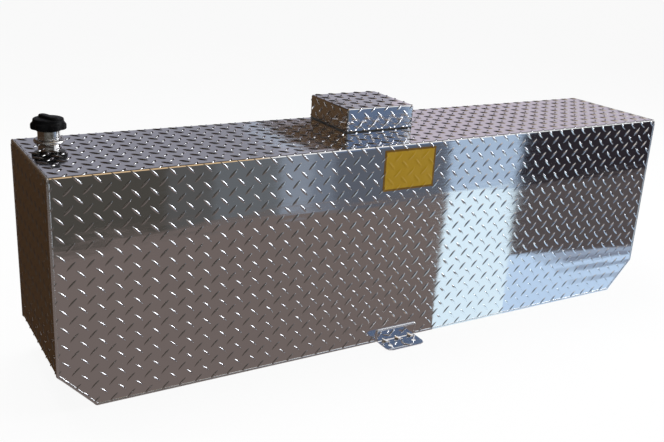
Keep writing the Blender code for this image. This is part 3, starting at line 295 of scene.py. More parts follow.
@dataclass
class FoldedLine:
    """Line of a folded sheet's face, seen from its edge. Out is to the left of the way it goes."""

    corners: Sequence[Pair]
    radius: float
    stretches: list[Stretch] = field(default_factory=list)

    def __post_init__(self) -> None:
        """Work out the stretches, one after the other."""
        points = [Vector(corner) for corner in self.corners]
        at = points[0].copy()
        start = 0.0
        for number in range(1, len(points)):
            run = points[number] - points[number - 1]
            heading = math.atan2(run.y, run.x)
            turn = trim = 0.0
            if number < len(points) - 1:
                after = points[number + 1] - points[number]
                turn = math.atan2(run.x * after.y - run.y * after.x, run.dot(after))
                trim = self.radius * math.tan(abs(turn) / 2)
            length = (points[number] - at).length - trim
            self.stretches.append(Stretch(start, length, tuple(at), heading, 0.0, 0.0))
            start += length
            at = at + run.normalized() * length
            if turn:
                self.stretches.append(
                    Stretch(start, self.radius * abs(turn), tuple(at), heading, turn, self.radius))
                start += self.radius * abs(turn)
                at = points[number] + (points[number + 1] - points[number]).normalized() * trim
        self.length = start

    def place(self, along: np.ndarray, out: np.ndarray) -> tuple[np.ndarray, np.ndarray]:
        """Turn distances along and out of the line into places in its plane.

        Args:
            along: Distances from the line's start.
            out: Distances to its left.

        Returns:
            The two coordinates of each place.
        """
        first = np.zeros_like(along)
        second = np.zeros_like(along)
        for number, part in enumerate(self.stretches):
            inside = along >= part.start if number else np.ones(len(along), bool)
            local = along[inside] - part.start
            if part.turn:
                sense = math.copysign(1.0, part.turn)
                local = np.minimum(local, part.length)
                angle = part.heading + sense * local / part.radius
                centre_x = part.origin[0] - sense * part.radius * math.sin(part.heading)
                centre_y = part.origin[1] + sense * part.radius * math.cos(part.heading)
                reach = out[inside] - sense * part.radius
                first[inside] = centre_x - np.sin(angle) * reach
                second[inside] = centre_y + np.cos(angle) * reach
            else:
                run_x, run_y = math.cos(part.heading), math.sin(part.heading)
                first[inside] = part.origin[0] + run_x * local - run_y * out[inside]
                second[inside] = part.origin[1] + run_y * local + run_x * out[inside]
        return first, second

    def over(self, flat: np.ndarray) -> np.ndarray:
        """Lay flat rows on a sheet that is folded round X: across is X."""
        y, z = self.place(flat[:, 1], flat[:, 2])
        return np.column_stack([flat[:, 0], y, z])

    def around(self, flat: np.ndarray) -> np.ndarray:
        """Lay flat rows on a sheet that is folded round Y: across runs to the front."""
        x, z = self.place(flat[:, 1], flat[:, 2])
        return np.column_stack([x, -flat[:, 0], z])


# The body sheet from the front's foot over the top, and the sheet from the right end to the left
BODY_LINE = FoldedLine([(FRONT, BOTTOM), (FRONT, TOP), (BACK, TOP), (BACK, BOTTOM)], BEND)
WRAPPER_LINE = FoldedLine([
    (RIGHT, TOP), (RIGHT, BOTTOM + CUT_HEIGHT), (RIGHT - CUT_WIDTH, BOTTOM),
    (LEFT + CUT_WIDTH, BOTTOM), (LEFT, BOTTOM + CUT_HEIGHT), (LEFT, TOP)], BEND)


# Tread pattern of the plate


@dataclass(frozen=True)
class Trim:
    """Straight edge that a flat pattern is cut along: what lies beyond it goes."""

    at: Pair
    beyond: Pair


@dataclass(frozen=True)
class Clear:
    """Round or square place that lugs keep out of."""

    at: Pair
    half_width: float
    half_height: float
    round: bool = False

    def holds(self, points: np.ndarray) -> np.ndarray:
        """Say which points lie in this place."""
        shift = (points - np.array(self.at)) / np.array([self.half_width, self.half_height])
        if self.round:
            return (shift ** 2).sum(axis=1) < 1.0
        return np.abs(shift).max(axis=1) < 1.0


@dataclass
class TreadPattern:
    """Crossed lens-shaped lugs of the plate, one of each way in every cell.

    Its tapers say from which share of a lug's half length on it is pinched, and by how much.
    """

    length: float = 0.0262
    width: float = 0.0054
    height: float = 0.0018
    sunk: float = 0.00045
    below: float = 0.00015
    pitch_across: float = 0.0348
    pitch_along: float = 0.0354
    steps_round: int = 12
    steps_long: int = 8
    tapers: tuple[Pair, ...] = ((0.70, 0.84), (0.92, 0.60))
    taper_band: float = 0.25
    reach_share: float = 0.36

    def lug(self, name: str, turn: float, place: Point) -> Object:
        """Make one lug: a stretched ball, pinched at its ends and cut off below.

        Args:
            name: Name of the lug.
            turn: Its way on the plate, in degrees.
            place: Where its middle is, flat.

        Returns:
            The lug.
        """
        obj = settle(primitive(name, "uv_sphere", segments=self.steps_round,
                               ring_count=self.steps_long, radius=1.0,
                               rotation=(0.0, math.pi / 2, 0.0)))
        with editing(obj) as bm:
            for level, taper in self.tapers:
                choose(obj, bm.verts,
                       lambda v, low=level: low < abs(v.co.x) < low + self.taper_band)
                bpy.ops.transform.resize(value=(1.0, taper, 0.5 + taper / 2))
            bpy.ops.mesh.select_all(action="SELECT")
            bpy.ops.transform.resize(
                value=(self.length / 2, self.width / 2, self.height + self.sunk))
            bpy.ops.transform.translate(value=(0.0, 0.0, -self.sunk))
            bpy.ops.mesh.bisect(plane_co=(0, 0, -self.below), plane_no=(0, 0, -1),
                                use_fill=True, clear_outer=True)
        obj.rotation_euler.z = math.radians(turn)
        obj.location = place
        return settle(obj)

    def patch(self, name: str, low: Pair, high: Pair,
              phase: Pair, trims: Sequence[Trim] = (),
              clears: Sequence[Clear] = ()) -> Object:
        """Fill a flat rectangle with lugs.

        Args:
            name: Name of the piece.
            low: Lowest corner of the rectangle, across and along.
            high: Highest corner.
            phase: A place where a falling lug has its middle.
            trims: Edges that the pattern is cut along.
            clears: Places without lugs.

        Returns:
            The lugs as one flat piece.
        """
        pitch = (self.pitch_across, self.pitch_along)
        first = [phase[k] + math.floor((low[k] - phase[k]) / pitch[k]) * pitch[k] for k in (0, 1)]
        counts = [math.ceil((high[k] - first[k]) / pitch[k]) + 1 for k in (0, 1)]
        falling = self.lug(name, -45.0, (first[0], first[1], 0.0))
        rising = self.lug(name + "_rising", 45.0,
                          (first[0] + pitch[0] / 2, first[1] + pitch[1] / 2, 0.0))
        lug_verts = len(falling.data.vertices)
        obj = join(name, [falling, rising])
        for k in (0, 1):
            shift = (pitch[0], 0.0, 0.0) if k == 0 else (0.0, pitch[1], 0.0)
            finish_with(obj, "ARRAY", count=counts[k], use_relative_offset=False,
                        use_constant_offset=True, constant_offset_displace=shift)
        points = read_points(obj)
        centres = points.reshape(-1, lug_verts, 3).mean(axis=1)[:, :2]
        reach = self.length * self.reach_share
        gone = np.zeros(len(centres), bool)
        for k in (0, 1):
            gone |= (centres[:, k] < low[k] - reach) | (centres[:, k] > high[k] + reach)
        for clear in clears:
            gone |= clear.holds(centres)
        for trim in trims:
            beyond = np.array(trim.beyond) / math.hypot(*trim.beyond)
            gone |= (centres - np.array(trim.at)) @ beyond > reach
        with editing(obj) as bm:
            choose(obj, bm.verts, lambda v: bool(gone[v.index // lug_verts]))
            bpy.ops.mesh.delete(type="VERT")
        edges = [*trims, Trim(low, (-1, 0)), Trim(low, (0, -1)), Trim(high, (1, 0)),
                 Trim(high, (0, 1))]
        for trim in edges:
            with editing(obj):
                bpy.ops.mesh.bisect(plane_co=(*trim.at, 0.0), plane_no=(*trim.beyond, 0.0),
                                    use_fill=True, clear_outer=True)
        return obj

    def height_at(self, points: np.ndarray, phase: Pair) -> np.ndarray:
        """Say how high the plate stands at flat points, lugs included.

        Args:
            points: Places across and along.
            phase: A place where a falling lug has its middle.

        Returns:
            The heights over the sheet.
        """
        pitch = np.array([self.pitch_across, self.pitch_along])
        best = np.zeros(len(points))
        for turn, shift in ((-45.0, 0.0), (45.0, 0.5)):
            cell = (points - np.array(phase)) / pitch - shift
            local = (cell - np.round(cell)) * pitch
            angle = math.radians(turn)
            long = local[:, 0] * math.cos(angle) + local[:, 1] * math.sin(angle)
            wide = -local[:, 0] * math.sin(angle) + local[:, 1] * math.cos(angle)
            inside = 1 - (2 * long / self.length) ** 2 - (2 * wide / self.width) ** 2
            dome = (self.height + self.sunk) * np.sqrt(np.clip(inside, 0, None)) - self.sunk
            best = np.maximum(best, dome)
        return best


# Weld beads and turned rings


def open_ring(name: str, steps: int, radius: float, **settings) -> Object:
    """Start a form with an open circle of so many steps."""
    return settle(primitive(name, "circle", vertices=steps, radius=radius, fill_type="NOTHING",
                            **settings))


def grow_ring(shift: Point, scale: Point, **settings) -> None:
    """Extrude the selected ring by a shift, then resize it."""
    bpy.ops.mesh.extrude_region_move(TRANSFORM_OT_translate={"value": shift})
    bpy.ops.transform.resize(value=scale, **settings)


@dataclass
class RippledBead:
    """Round weld bead laid in a row of overlapping ripples.

    Its ripple lists steps along one pitch, each with the share of the swell that it ends with.
    """

    radius: float
    pitch: float = 0.0031
    swell: float = 0.055
    steps_round: int = 14
    ripple: tuple[Pair, ...] = ((0.30, 1.0), (0.45, 0.6), (0.25, 0.0))

    def straight(self, name: str, length: float) -> Object:
        """Make a straight bead along Y: one ripple drawn out of a ring, then a row of copies.

        Args:
            name: Name of the bead.
            length: Its length.

        Returns:
            The bead, from Y 0 to its length, still open at its ends.
        """
        count = max(1, round(length / self.pitch))
        pitch = length / count
        obj = open_ring(name, self.steps_round, self.radius, rotation=(math.pi / 2, 0.0, 0.0))
        size = 1.0
        with editing(obj):
            for along, swollen in self.ripple:
                next_size = 1.0 + self.swell * swollen
                step = next_size / size
                grow_ring((0.0, pitch * along, 0.0), (step, 1.0, step))
                size = next_size
        finish_with(obj, "ARRAY", count=count, use_relative_offset=False,
                    use_constant_offset=True, constant_offset_displace=(0.0, pitch, 0.0),
                    use_merge_vertices=True, merge_threshold=1e-5)
        return obj


def draw_rings(name: str, rings: Sequence[Pair], steps: int) -> Object:
    """Draw a ring upwards or downwards through a row of sizes, as on a lathe.

    Args:
        name: Name of the piece.
        rings: Radius and height of each ring in turn. Rings in one place close the form.
        steps: Number of sides.

    Returns:
        The piece round the Z axis, closed at both ends.
    """
    (radius, height), *others = rings
    obj = open_ring(name, steps, radius, location=(0.0, 0.0, height))
    with editing(obj):
        for next_radius, next_height in others:
            scale = next_radius / radius
            grow_ring((0.0, 0.0, next_height - height), (scale, scale, 1.0),
                      center_override=(0.0, 0.0, next_height))
            radius, height = next_radius, next_height
    return obj


def close_form(obj: Object, gap: float = 1e-6) -> Object:
    """Merge doubled vertices, fill what is open and point the faces outwards.

    Args:
        obj: The piece.
        gap: Vertices nearer than this are merged.

    Returns:
        The same piece.
    """
    with editing(obj):
        bpy.ops.mesh.remove_doubles(threshold=gap)
    with editing(obj, "EDGE") as bm:
        choose(obj, bm.edges, lambda e: e.is_boundary)
        bpy.ops.mesh.edge_face_add()
        bpy.ops.mesh.select_all(action="SELECT")
        bpy.ops.mesh.normals_make_consistent(inside=False)
    return obj


# Finishes and their shared node groups


class NodeBench:
    """Adds nodes to a tree and links them in one call."""

    def __init__(self, tree: NodeTree) -> None:
        """Work on one tree."""
        self.tree = tree

    def add(self, kind: str, sockets: dict[str | int, Value] | None = None, **settings) -> Node:
        """Add a node.

        Args:
            kind: The node's kind, without ShaderNode.
            sockets: Values or outputs for its inputs, by name or number.
            settings: The node's own settings.

        Returns:
            The new node.
        """
        node = self.tree.nodes.new("ShaderNode" + kind)
        for key, value in settings.items():
            setattr(node, key, value)
        for key, value in (sockets or {}).items():
            if isinstance(value, NodeSocket):
                self.tree.links.new(value, node.inputs[key])
            else:
                node.inputs[key].default_value = value
        return node

    def ramp(self, value: NodeSocket, low: float, high: float, first: float = 0.0,
             last: float = 1.0) -> NodeSocket:
        """Spread a value from one range to another, held at its ends."""
        node = self.add("MapRange", {"Value": value, "From Min": low, "From Max": high,
                                     "To Min": first, "To Max": last})
        return node.outputs["Result"]

    def math(self, operation: str, first: Value, second: Value) -> NodeSocket:
        """Work out one value from two."""
        return self.add("Math", {0: first, 1: second}, operation=operation).outputs[0]

    def mix(self, share: NodeSocket, first: Value, second: Value) -> NodeSocket:
        """Mix two colours by a share."""
        return self.add("Mix", {0: share, 6: first, 7: second}, data_type="RGBA").outputs[2]

    def noise(self, place: NodeSocket, scale: Value, detail: float, rough: float) -> NodeSocket:
        """Read a cloudy noise at a scale."""
        return self.add("TexNoise", {"Vector": place, "Scale": scale, "Detail": detail,
                                     "Roughness": rough}).outputs["Fac"]

    def turned(self, place: NodeSocket, scale: Point, turn: Point = (0.0, 0.0, 0.0)) -> NodeSocket:
        """Turn and stretch the places where a noise is read."""
        return self.add("Mapping", {"Vector": place, "Rotation": turn, "Scale": scale}).outputs[0]

    def bump(self, layers: Sequence[tuple[NodeSocket, float, NodeSocket]]) -> NodeSocket:
        """Lay bumps over each other: the strength, the depth in metres and the height of each."""
        given = {}
        for strength, depth, height in layers:
            node = self.add("Bump", {"Strength": strength, "Distance": depth, "Height": height,
                                     **given})
            given = {"Normal": node.outputs[0]}
        return given["Normal"]

    def seen(self) -> NodeSocket:
        """Say whether something is seen: straight, in a mirror or through a clear piece."""
        path = self.add("LightPath").outputs
        seen = self.math("MAXIMUM", path["Is Camera Ray"], path["Is Glossy Ray"])
        return self.math("MAXIMUM", seen, path["Is Transmission Ray"])


class SurfaceGroup(NodeBench):
    """Shared node group for a surface, which gives a colour, a roughness and a normal."""

    outputs: ClassVar[dict[str, str]] = {
        "Colour": "NodeSocketColor", "Roughness": "NodeSocketFloat", "Normal": "NodeSocketVector"}

    def __init__(self, name: str, inputs: dict[str, float | Colour]) -> None:
        """Make the group with its sockets, still empty.

        Args:
            name: Name of the group.
            inputs: Starting value of each input by name: a number or a colour.
        """
        super().__init__(bpy.data.node_groups.new(name, "ShaderNodeTree"))
        for key, value in inputs.items():
            number = isinstance(value, float)
            socket = self.tree.interface.new_socket(
                key, in_out="INPUT", socket_type="NodeSocketFloat" if number else "NodeSocketColor")
            socket.default_value = value if number else (*value, 1.0)
        for key, kind in self.outputs.items():
            self.tree.interface.new_socket(key, in_out="OUTPUT", socket_type=kind)
        self.values = self.tree.nodes.new("NodeGroupInput").outputs
        self.place = self.add("TexCoord").outputs["Object"]

    def clouded(self, share: NodeSocket, low: float, high: float, amount: str, tint: str,
                rougher: float) -> tuple[NodeSocket, NodeSocket]:
        """Cloud the colour and roughen the surface by a noise.

        Args:
            share: The noise.
            low: Where the clouds begin in it.
            high: Where they are full.
            amount: The input that says how strong they are.
            tint: The input with their colour.
            rougher: How much rougher they are.

        Returns:
            The colour and the roughness with the clouds.
        """
        clouds = self.math("MULTIPLY", self.ramp(share, low, high), self.values[amount])
        rough = self.math("ADD", self.values["Roughness"], self.math("MULTIPLY", clouds, rougher))
        return self.mix(clouds, self.values["Colour"], self.values[tint]), rough

    def close(self, *sockets: NodeSocket) -> NodeTree:
        """Link the colour, the roughness and the normal that the group gives."""
        out = self.tree.nodes.new("NodeGroupOutput")
        for key, socket in zip(self.outputs, sockets):
            self.tree.links.new(socket, out.inputs[key])
        return self.tree


def rolled_surface_group() -> NodeTree:
    """Build the group for rolled metal: fine lines along X, cloudy haze, slow waves and scuffs."""
    group = SurfaceGroup("rolled_surface", {
        "Colour": (0.8, 0.8, 0.8), "Haze Colour": (0.6, 0.6, 0.6), "Roughness": 0.15,
        "Haze": 0.3, "Line Depth": 0.2, "Wave Depth": 0.2, "Scuffs": 0.2})
    values, place = group.values, group.place
    lines = group.noise(group.turned(place, (1.0, 42.0, 42.0)), 9.0, 4.0, 0.6)
    waves = group.noise(place, 3.2, 1.0, 0.4)
    ripples = group.noise(group.turned(place, (5.0, 24.0, 24.0)), 1.0, 2.0, 0.5)
    specks = group.noise(place, 900.0, 2.0, 0.5)
    scuffs_at = group.turned(place, (3.0, 60.0, 46.0), (0.2, 0.5, 0.35))
    scuffs = group.math("MULTIPLY", group.math(
        "MULTIPLY", group.ramp(group.noise(scuffs_at, 4.0, 3.0, 0.7), 0.66, 0.74),
        group.ramp(group.noise(place, 7.0, 2.0, 0.55), 0.50, 0.64)), values["Scuffs"])
    colour, rough = group.clouded(group.noise(place, 5.5, 4.0, 0.6), 0.38, 0.68, "Haze",
                                  "Haze Colour", 0.16)
    rough = group.math("ADD", rough, group.ramp(lines, 0.3, 0.7, -0.03, 0.05))
    rough = group.math("ADD", rough, group.math("MULTIPLY", scuffs, 0.25))
    return group.close(colour, rough, group.bump([
        (values["Wave Depth"], 0.006, waves), (values["Wave Depth"], 0.0014, ripples),
        (values["Line Depth"], 0.00006, lines), (values["Line Depth"], 0.00002, specks)]))


def moulded_surface_group() -> NodeTree:
    """Build the group for plastic, rubber and cast metal: fine grain, dust and worn patches."""
    group = SurfaceGroup("moulded_surface", {
        "Colour": (0.02, 0.02, 0.02), "Dust Colour": (0.2, 0.19, 0.17), "Roughness": 0.45,
        "Dust": 0.2, "Grain Depth": 0.2, "Grain Size": 700.0})
    grain = group.noise(group.place, group.values["Grain Size"], 2.0, 0.6)
    colour, rough = group.clouded(group.noise(group.place, 38.0, 5.0, 0.65), 0.46, 0.74, "Dust",
                                  "Dust Colour", 0.35)
    rough = group.math("ADD", rough, group.ramp(grain, 0.3, 0.7, -0.04, 0.05))
    return group.close(colour, rough, group.bump([(group.values["Grain Depth"], 0.00015, grain)]))


class Paint(NodeBench):
    """A new material with its own shader."""

    def __init__(self, name: str) -> None:
        """Make the material."""
        self.material = bpy.data.materials.new(name)
        self.material.use_nodes = True
        super().__init__(self.material.node_tree)
        self.shader = self.tree.nodes["Principled BSDF"]

    def surface(self, shader: Node) -> Material:
        """Show a shader as the material's surface."""
        self.tree.links.new(shader.outputs[0], self.tree.nodes["Material Output"].inputs["Surface"])
        return self.material

    def feed(self, group: NodeTree, values: dict[str, Value], own: dict[str, float]) -> Material:
        """Feed a surface group into the shader.

        Args:
            group: The group.
            values: What the group gets, by the names of its inputs.
            own: What the shader itself gets.

        Returns:
            The material.
        """
        node = self.add("Group", values, node_tree=group)
        for source, target in (("Colour", "Base Color"), ("Roughness", "Roughness"),
                               ("Normal", "Normal")):
            self.tree.links.new(node.outputs[source], self.shader.inputs[target])
        for key, value in own.items():
            self.shader.inputs[key].default_value = value
        return self.material


@dataclass(frozen=True)
class RolledMetal:
    """Metal with a rolled, drawn or ground surface."""

    name: str
    colour: Colour
    haze_colour: Colour
    roughness: float
    haze: float
    line_depth: float
    wave_depth: float
    scuffs: float

    def material(self, palette: Palette) -> Material:
        """Build the material out of the shared node groups."""
        return Paint(self.name).feed(palette.rolled, {
            "Colour": (*self.colour, 1.0), "Haze Colour": (*self.haze_colour, 1.0),
            "Roughness": self.roughness, "Haze": self.haze, "Line Depth": self.line_depth,
            "Wave Depth": self.wave_depth, "Scuffs": self.scuffs}, {"Metallic": 1.0})


@dataclass(frozen=True)
class Moulded:
    """Plastic, rubber, paint or cast metal with a fine grain and some dust, or a clear window."""

    name: str
    colour: Colour
    dust_colour: Colour
    roughness: float
    dust: float
    grain_depth: float
    grain_size: float = 700.0
    metallic: float = 0.0
    specular: float = 0.5
    clear: float = 0.0
    clear_bend: float = 1.46

    def material(self, palette: Palette) -> Material:
        """Build the material out of the shared node groups."""
        own = {"Metallic": self.metallic, "Specular IOR Level": self.specular}
        if self.clear:
            own |= {"Transmission Weight": self.clear, "IOR": self.clear_bend}
        return Paint(self.name).feed(palette.moulded, {
            "Colour": (*self.colour, 1.0), "Dust Colour": (*self.dust_colour, 1.0),
            "Roughness": self.roughness, "Dust": self.dust, "Grain Depth": self.grain_depth,
            "Grain Size": self.grain_size}, own)


GREY_DUST = (0.20, 0.19, 0.17)
CLEAR_TINT = (0.93, 0.96, 0.97)
FINISHES = {
    Slot.PLATE: RolledMetal("tread_plate_finish", (0.84, 0.84, 0.86), (0.72, 0.72, 0.75), 0.045,
                            haze=0.20, line_depth=0.35, wave_depth=0.35, scuffs=0.6),
    Slot.WELD: Moulded("weld_finish", (0.86, 0.86, 0.87), (0.62, 0.61, 0.60), 0.24, dust=0.5,
                       grain_depth=0.35, grain_size=1400.0, metallic=1.0),
    Slot.ALUMINIUM: RolledMetal("plain_aluminium_finish", (0.86, 0.86, 0.86), (0.76, 0.75, 0.74),
                                0.10, haze=0.25, line_depth=0.15, wave_depth=0.05, scuffs=0.3),
    Slot.PLASTIC: Moulded("black_plastic_finish", (0.002, 0.002, 0.0025), (0.012, 0.012, 0.012),
                          0.40, dust=0.06, grain_depth=0.25, specular=0.10),
    Slot.RUBBER: Moulded("black_rubber_finish", (0.016, 0.016, 0.016), GREY_DUST, 0.75, dust=0.3,
                         grain_depth=0.5, grain_size=420.0),
    Slot.FOAM: Moulded("float_foam_finish", (0.030, 0.030, 0.032), GREY_DUST, 0.85, dust=0.25,
                       grain_depth=0.9, grain_size=260.0),
    Slot.BRASS: Moulded("brass_finish", (0.74, 0.54, 0.25), (0.36, 0.24, 0.10), 0.26, dust=0.45,
                        grain_depth=0.15, grain_size=900.0, metallic=1.0),
    Slot.STEEL: Moulded("steel_finish", (0.62, 0.63, 0.65), (0.40, 0.40, 0.40), 0.30, dust=0.4,
                        grain_depth=0.12, grain_size=1100.0, metallic=1.0),
    Slot.CLEAR: Moulded("clear_plastic_finish", CLEAR_TINT, CLEAR_TINT, 0.06, dust=0.15,
                        grain_depth=0.02, clear=1.0),
    Slot.ENAMEL: Moulded("white_enamel_finish", (0.85, 0.85, 0.82), (0.70, 0.68, 0.62), 0.35,
                         dust=0.2, grain_depth=0.05),
    Slot.RED: Moulded("red_plastic_finish", (0.62, 0.03, 0.02), (0.40, 0.08, 0.06), 0.38,
                      dust=0.2, grain_depth=0.1),
    Slot.MESH: Moulded("filter_mesh_finish", (0.30, 0.31, 0.31), (0.16, 0.15, 0.13), 0.55,
                       dust=0.6, grain_depth=1.0, grain_size=1500.0, metallic=0.6),
}


class Palette:
    """All finishes of the tank by slot, and the node groups that they share, built once."""

    def __init__(self) -> None:
        """Build the groups and a material for every slot."""
        self.rolled = rolled_surface_group()
        self.moulded = moulded_surface_group()
        self.by_slot = {slot: finish.material(self) for slot, finish in FINISHES.items()}

    def paint_nodes(self, frame: dict) -> None:
        """Give every node of the loaded frame the finish that the record names."""
        for row in frame["record"]["subparts"]:
            mesh = frame["nodes"][row["node"]].data
            mesh.materials.clear()
            mesh.materials.append(self.by_slot[Slot(row["material_slot"])])
        LOG.info("painted %d nodes", len(frame["nodes"]))

    def dress(self, obj: Object, finish: Slot | Material, body: Body = Body.TANK,
              replaces: Sequence[str] = (), sharp: float = 40.0) -> None:
        """Finish a piece: smooth faces, its material, what it moves with and what it stands for.

        Args:
            obj: The piece.
            finish: The record's name of its finish, or a material that the record doesn't name.
            body: What it moves with.
            replaces: The nodes that it stands for.
            sharp: Edges with more than this angle stay sharp, in degrees.
        """
        settle(obj)
        bpy.ops.object.shade_smooth_by_angle(angle=math.radians(sharp))
        obj.data.materials.clear()
        obj.data.materials.append(self.by_slot.get(finish, finish))
        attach(obj, body.value)
        if replaces:
            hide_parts(*replaces)
        LOG.info("%s: %d faces", obj.name, len(obj.data.polygons))


# Pieces of the tank


@dataclass
class TankPlate:
    """Lugs on the tank's two sheets and on its foot."""

    palette: Palette
    pattern: TreadPattern
    edge: float = 0.0034
    corner_share: float = 1.3
    fold_gap: float = 0.0005
    ends_gap: float = 0.003
    ends_phase: Pair = (-0.010, 0.012)
    row_below_top: float = 0.0087
    column_from_left: float = 0.0175
    foot_clear: Clear = Clear((0.0, 0.00625), 0.0585, 0.02825)
    holes: tuple[tuple[str, float], ...] = (
        ("filler_neck", 0.036), ("gauge_dial", 0.046), ("outlet_bung", 0.026),
        ("vent_bung", 0.026))
    leaf_half: float = 0.083
    leaf_drop: float = 0.021
    leaf_gap: float = 0.008
    floor_gap: float = 0.0001
    foot_tip: float = -0.1731
    foot_face: float = 0.0032
    upright_face: float = -0.1263
    upright_top: float = 0.0280
    foot_bend: float = 0.0018
    foot_half: float = 0.0490
    foot_edge: float = 0.0012
    foot_corner: float = 0.013
    foot_phase: Pair = (0.004, 0.009)
    foot_hole: Pair = (0.032, 0.021)
    foot_hole_clear: float = 0.015

    @property
    def phase(self) -> Pair:
        """Middle of a falling lug on the unfolded body sheet."""
        return (LEFT + self.column_from_left, TOP - self.row_below_top - BOTTOM)

    def along_top(self, y: float) -> float:
        """Turn a place on the top into a distance along the body sheet."""
        return TOP - BEND - BOTTOM + BEND * math.pi / 2 + (y - FRONT - BEND)

    def body_trims(self, foot: float, up: float) -> list[Trim]:
        """List the edges of one upright face of the body sheet.

        Args:
            foot: Distance along the sheet at the face's lower edge.
            up: 1 where the distance grows upwards, or -1.

        Returns:
            The trims.
        """
        corners = [Trim((side * (RIGHT - CUT_WIDTH), foot + up * self.edge * self.corner_share),
                        (side * CUT_HEIGHT, -up * CUT_WIDTH)) for side in (-1, 1)]
        return [Trim((0.0, foot + up * self.edge), (0.0, -up)), *corners]

    def make(self) -> None:
        """Make the lugs of the body sheet, of the sheet round the ends and of the foot."""
        rise, total = TOP - BOTTOM, BODY_LINE.length
        front_end = rise - BEND - self.fold_gap
        back_start = self.along_top(BACK) - 0.5 * BEND
        middles = [(node_middle(node), reach) for node, reach in self.holes]
        holes = [Clear((x, self.along_top(y)), reach, reach, True) for (x, y), reach in middles]
        leaf = Clear((0.0, total - (rise - self.leaf_drop / 2)), self.leaf_half + self.leaf_gap,
                     self.leaf_drop / 2 + self.leaf_gap)
        for name, low, high, trims, clears in (
                ("front_lugs", 0.0, front_end, self.body_trims(0.0, 1.0), [self.foot_clear]),
                ("top_lugs", front_end, back_start, (), holes),
                ("back_lugs", back_start, total, self.body_trims(total, -1.0), [leaf])):
            lugs = self.pattern.patch(name, (LEFT + self.edge, low), (RIGHT - self.edge, high),
                                      self.phase, trims, clears)
            self.palette.dress(wrap(lugs, BODY_LINE.over), Slot.PLATE)
        reach = BEND + self.ends_gap
        ends = self.pattern.patch(
            "end_and_bottom_lugs", (-BACK + self.edge, reach),
            (-FRONT - self.edge, WRAPPER_LINE.length - reach), self.ends_phase)
        points = WRAPPER_LINE.around(read_points(ends))
        points[:, 2] = np.maximum(points[:, 2], self.floor_gap)
        write_points(ends, points)
        self.palette.dress(ends, Slot.PLATE)
        self.make_foot()

    def make_foot(self) -> None:
        """Make the lugs of the foot: over its flange, then up its upright."""
        line = FoldedLine([(self.foot_tip, self.foot_face), (self.upright_face, self.foot_face),
                           (self.upright_face, self.upright_top)], self.foot_bend)
        half, edge, clear = self.foot_half, self.foot_edge, self.foot_hole_clear
        trims = [Trim((side * half, self.foot_corner), (side, -1.0)) for side in (-1.0, 1.0)]
        holes = [Clear((side * self.foot_hole[0], self.foot_hole[1]), clear, clear, True)
                 for side in (-1.0, 1.0)]
        foot = self.pattern.patch("foot_lugs", (-half, edge), (half, line.length - edge),
                                  self.foot_phase, trims, holes)
        self.palette.dress(wrap(foot, line.over), Slot.PLATE)


@dataclass
class Seams:
    """Rippled weld beads along the tank's edges, round its neck and its foot."""

    palette: Palette
    seam_radius: float = 0.0036
    seam_depth: float = 0.0022
    seam_start: float = 0.0093
    neck_radius: float = 0.0258
    neck_bead: float = 0.0043
    neck_pitch: float = 0.0029
    foot_bead: float = 0.0026
    foot_pitch: float = 0.0026
    foot_bend: float = 0.003
    foot_half: float = 0.0520
    foot_top: float = 0.0299
    foot_start: float = 0.0080
    foot_out: float = 0.0006
    ground_half: float = 0.0552
    ground_top: float = 0.02
    ground_face: float = FRONT + 0.0003
    sharp: float = 75.0

    def make(self) -> None:
        """Make every bead."""
        length = WRAPPER_LINE.length - 2 * self.seam_start
        for name, node, across in (
                ("front_bead", "front_seam_weld", -(FRONT + self.seam_depth)),
                ("back_bead", "back_seam_weld", -(BACK - self.seam_depth))):
            obj = close_form(RippledBead(self.seam_radius).straight(name, length))
            shift = np.array([across, self.seam_start, -self.seam_depth])
            points = WRAPPER_LINE.around(read_points(obj) + shift)
            # The front bead is ground back to the plate where the foot stands against it. The
            # back bead has nothing there, and stays as it is
            ground = (np.abs(points[:, 0]) < self.ground_half) & (points[:, 2] < self.ground_top)
            points[ground, 1] = np.maximum(points[ground, 1], self.ground_face)
            write_points(obj, points)
            self.dress_bead(obj, node)
        neck = RippledBead(self.neck_bead, self.neck_pitch).straight(
            "neck_bead", math.tau * self.neck_radius)
        self.dress_bead(close_form(wrap(neck, self.round_neck), gap=1e-5), "neck_weld")
        half, top, low = self.foot_half, self.foot_top, self.foot_start
        line = FoldedLine([(-half, low), (-half, top), (half, top), (half, low)],
                          self.foot_bend)
        foot = RippledBead(self.foot_bead, self.foot_pitch).straight("foot_bead", line.length)
        points = read_points(foot)
        x, z = line.place(points[:, 1], points[:, 0])
        write_points(foot, np.column_stack([x, FRONT - self.foot_out - points[:, 2], z]))
        self.dress_bead(close_form(foot), "foot_weld")

    def round_neck(self, flat: np.ndarray) -> np.ndarray:
        """Bend a straight bead round the neck."""
        middle = node_middle("filler_neck")
        angle = flat[:, 1] / self.neck_radius
        reach = self.neck_radius + flat[:, 0]
        return np.column_stack([middle[0] + reach * np.cos(angle),
                                middle[1] + reach * np.sin(angle), TOP + flat[:, 2]])

    def dress_bead(self, obj: Object, node: str) -> None:
        """Finish a bead that stands for a weld's node."""
        self.palette.dress(obj, Slot.WELD, replaces=[node], sharp=self.sharp)


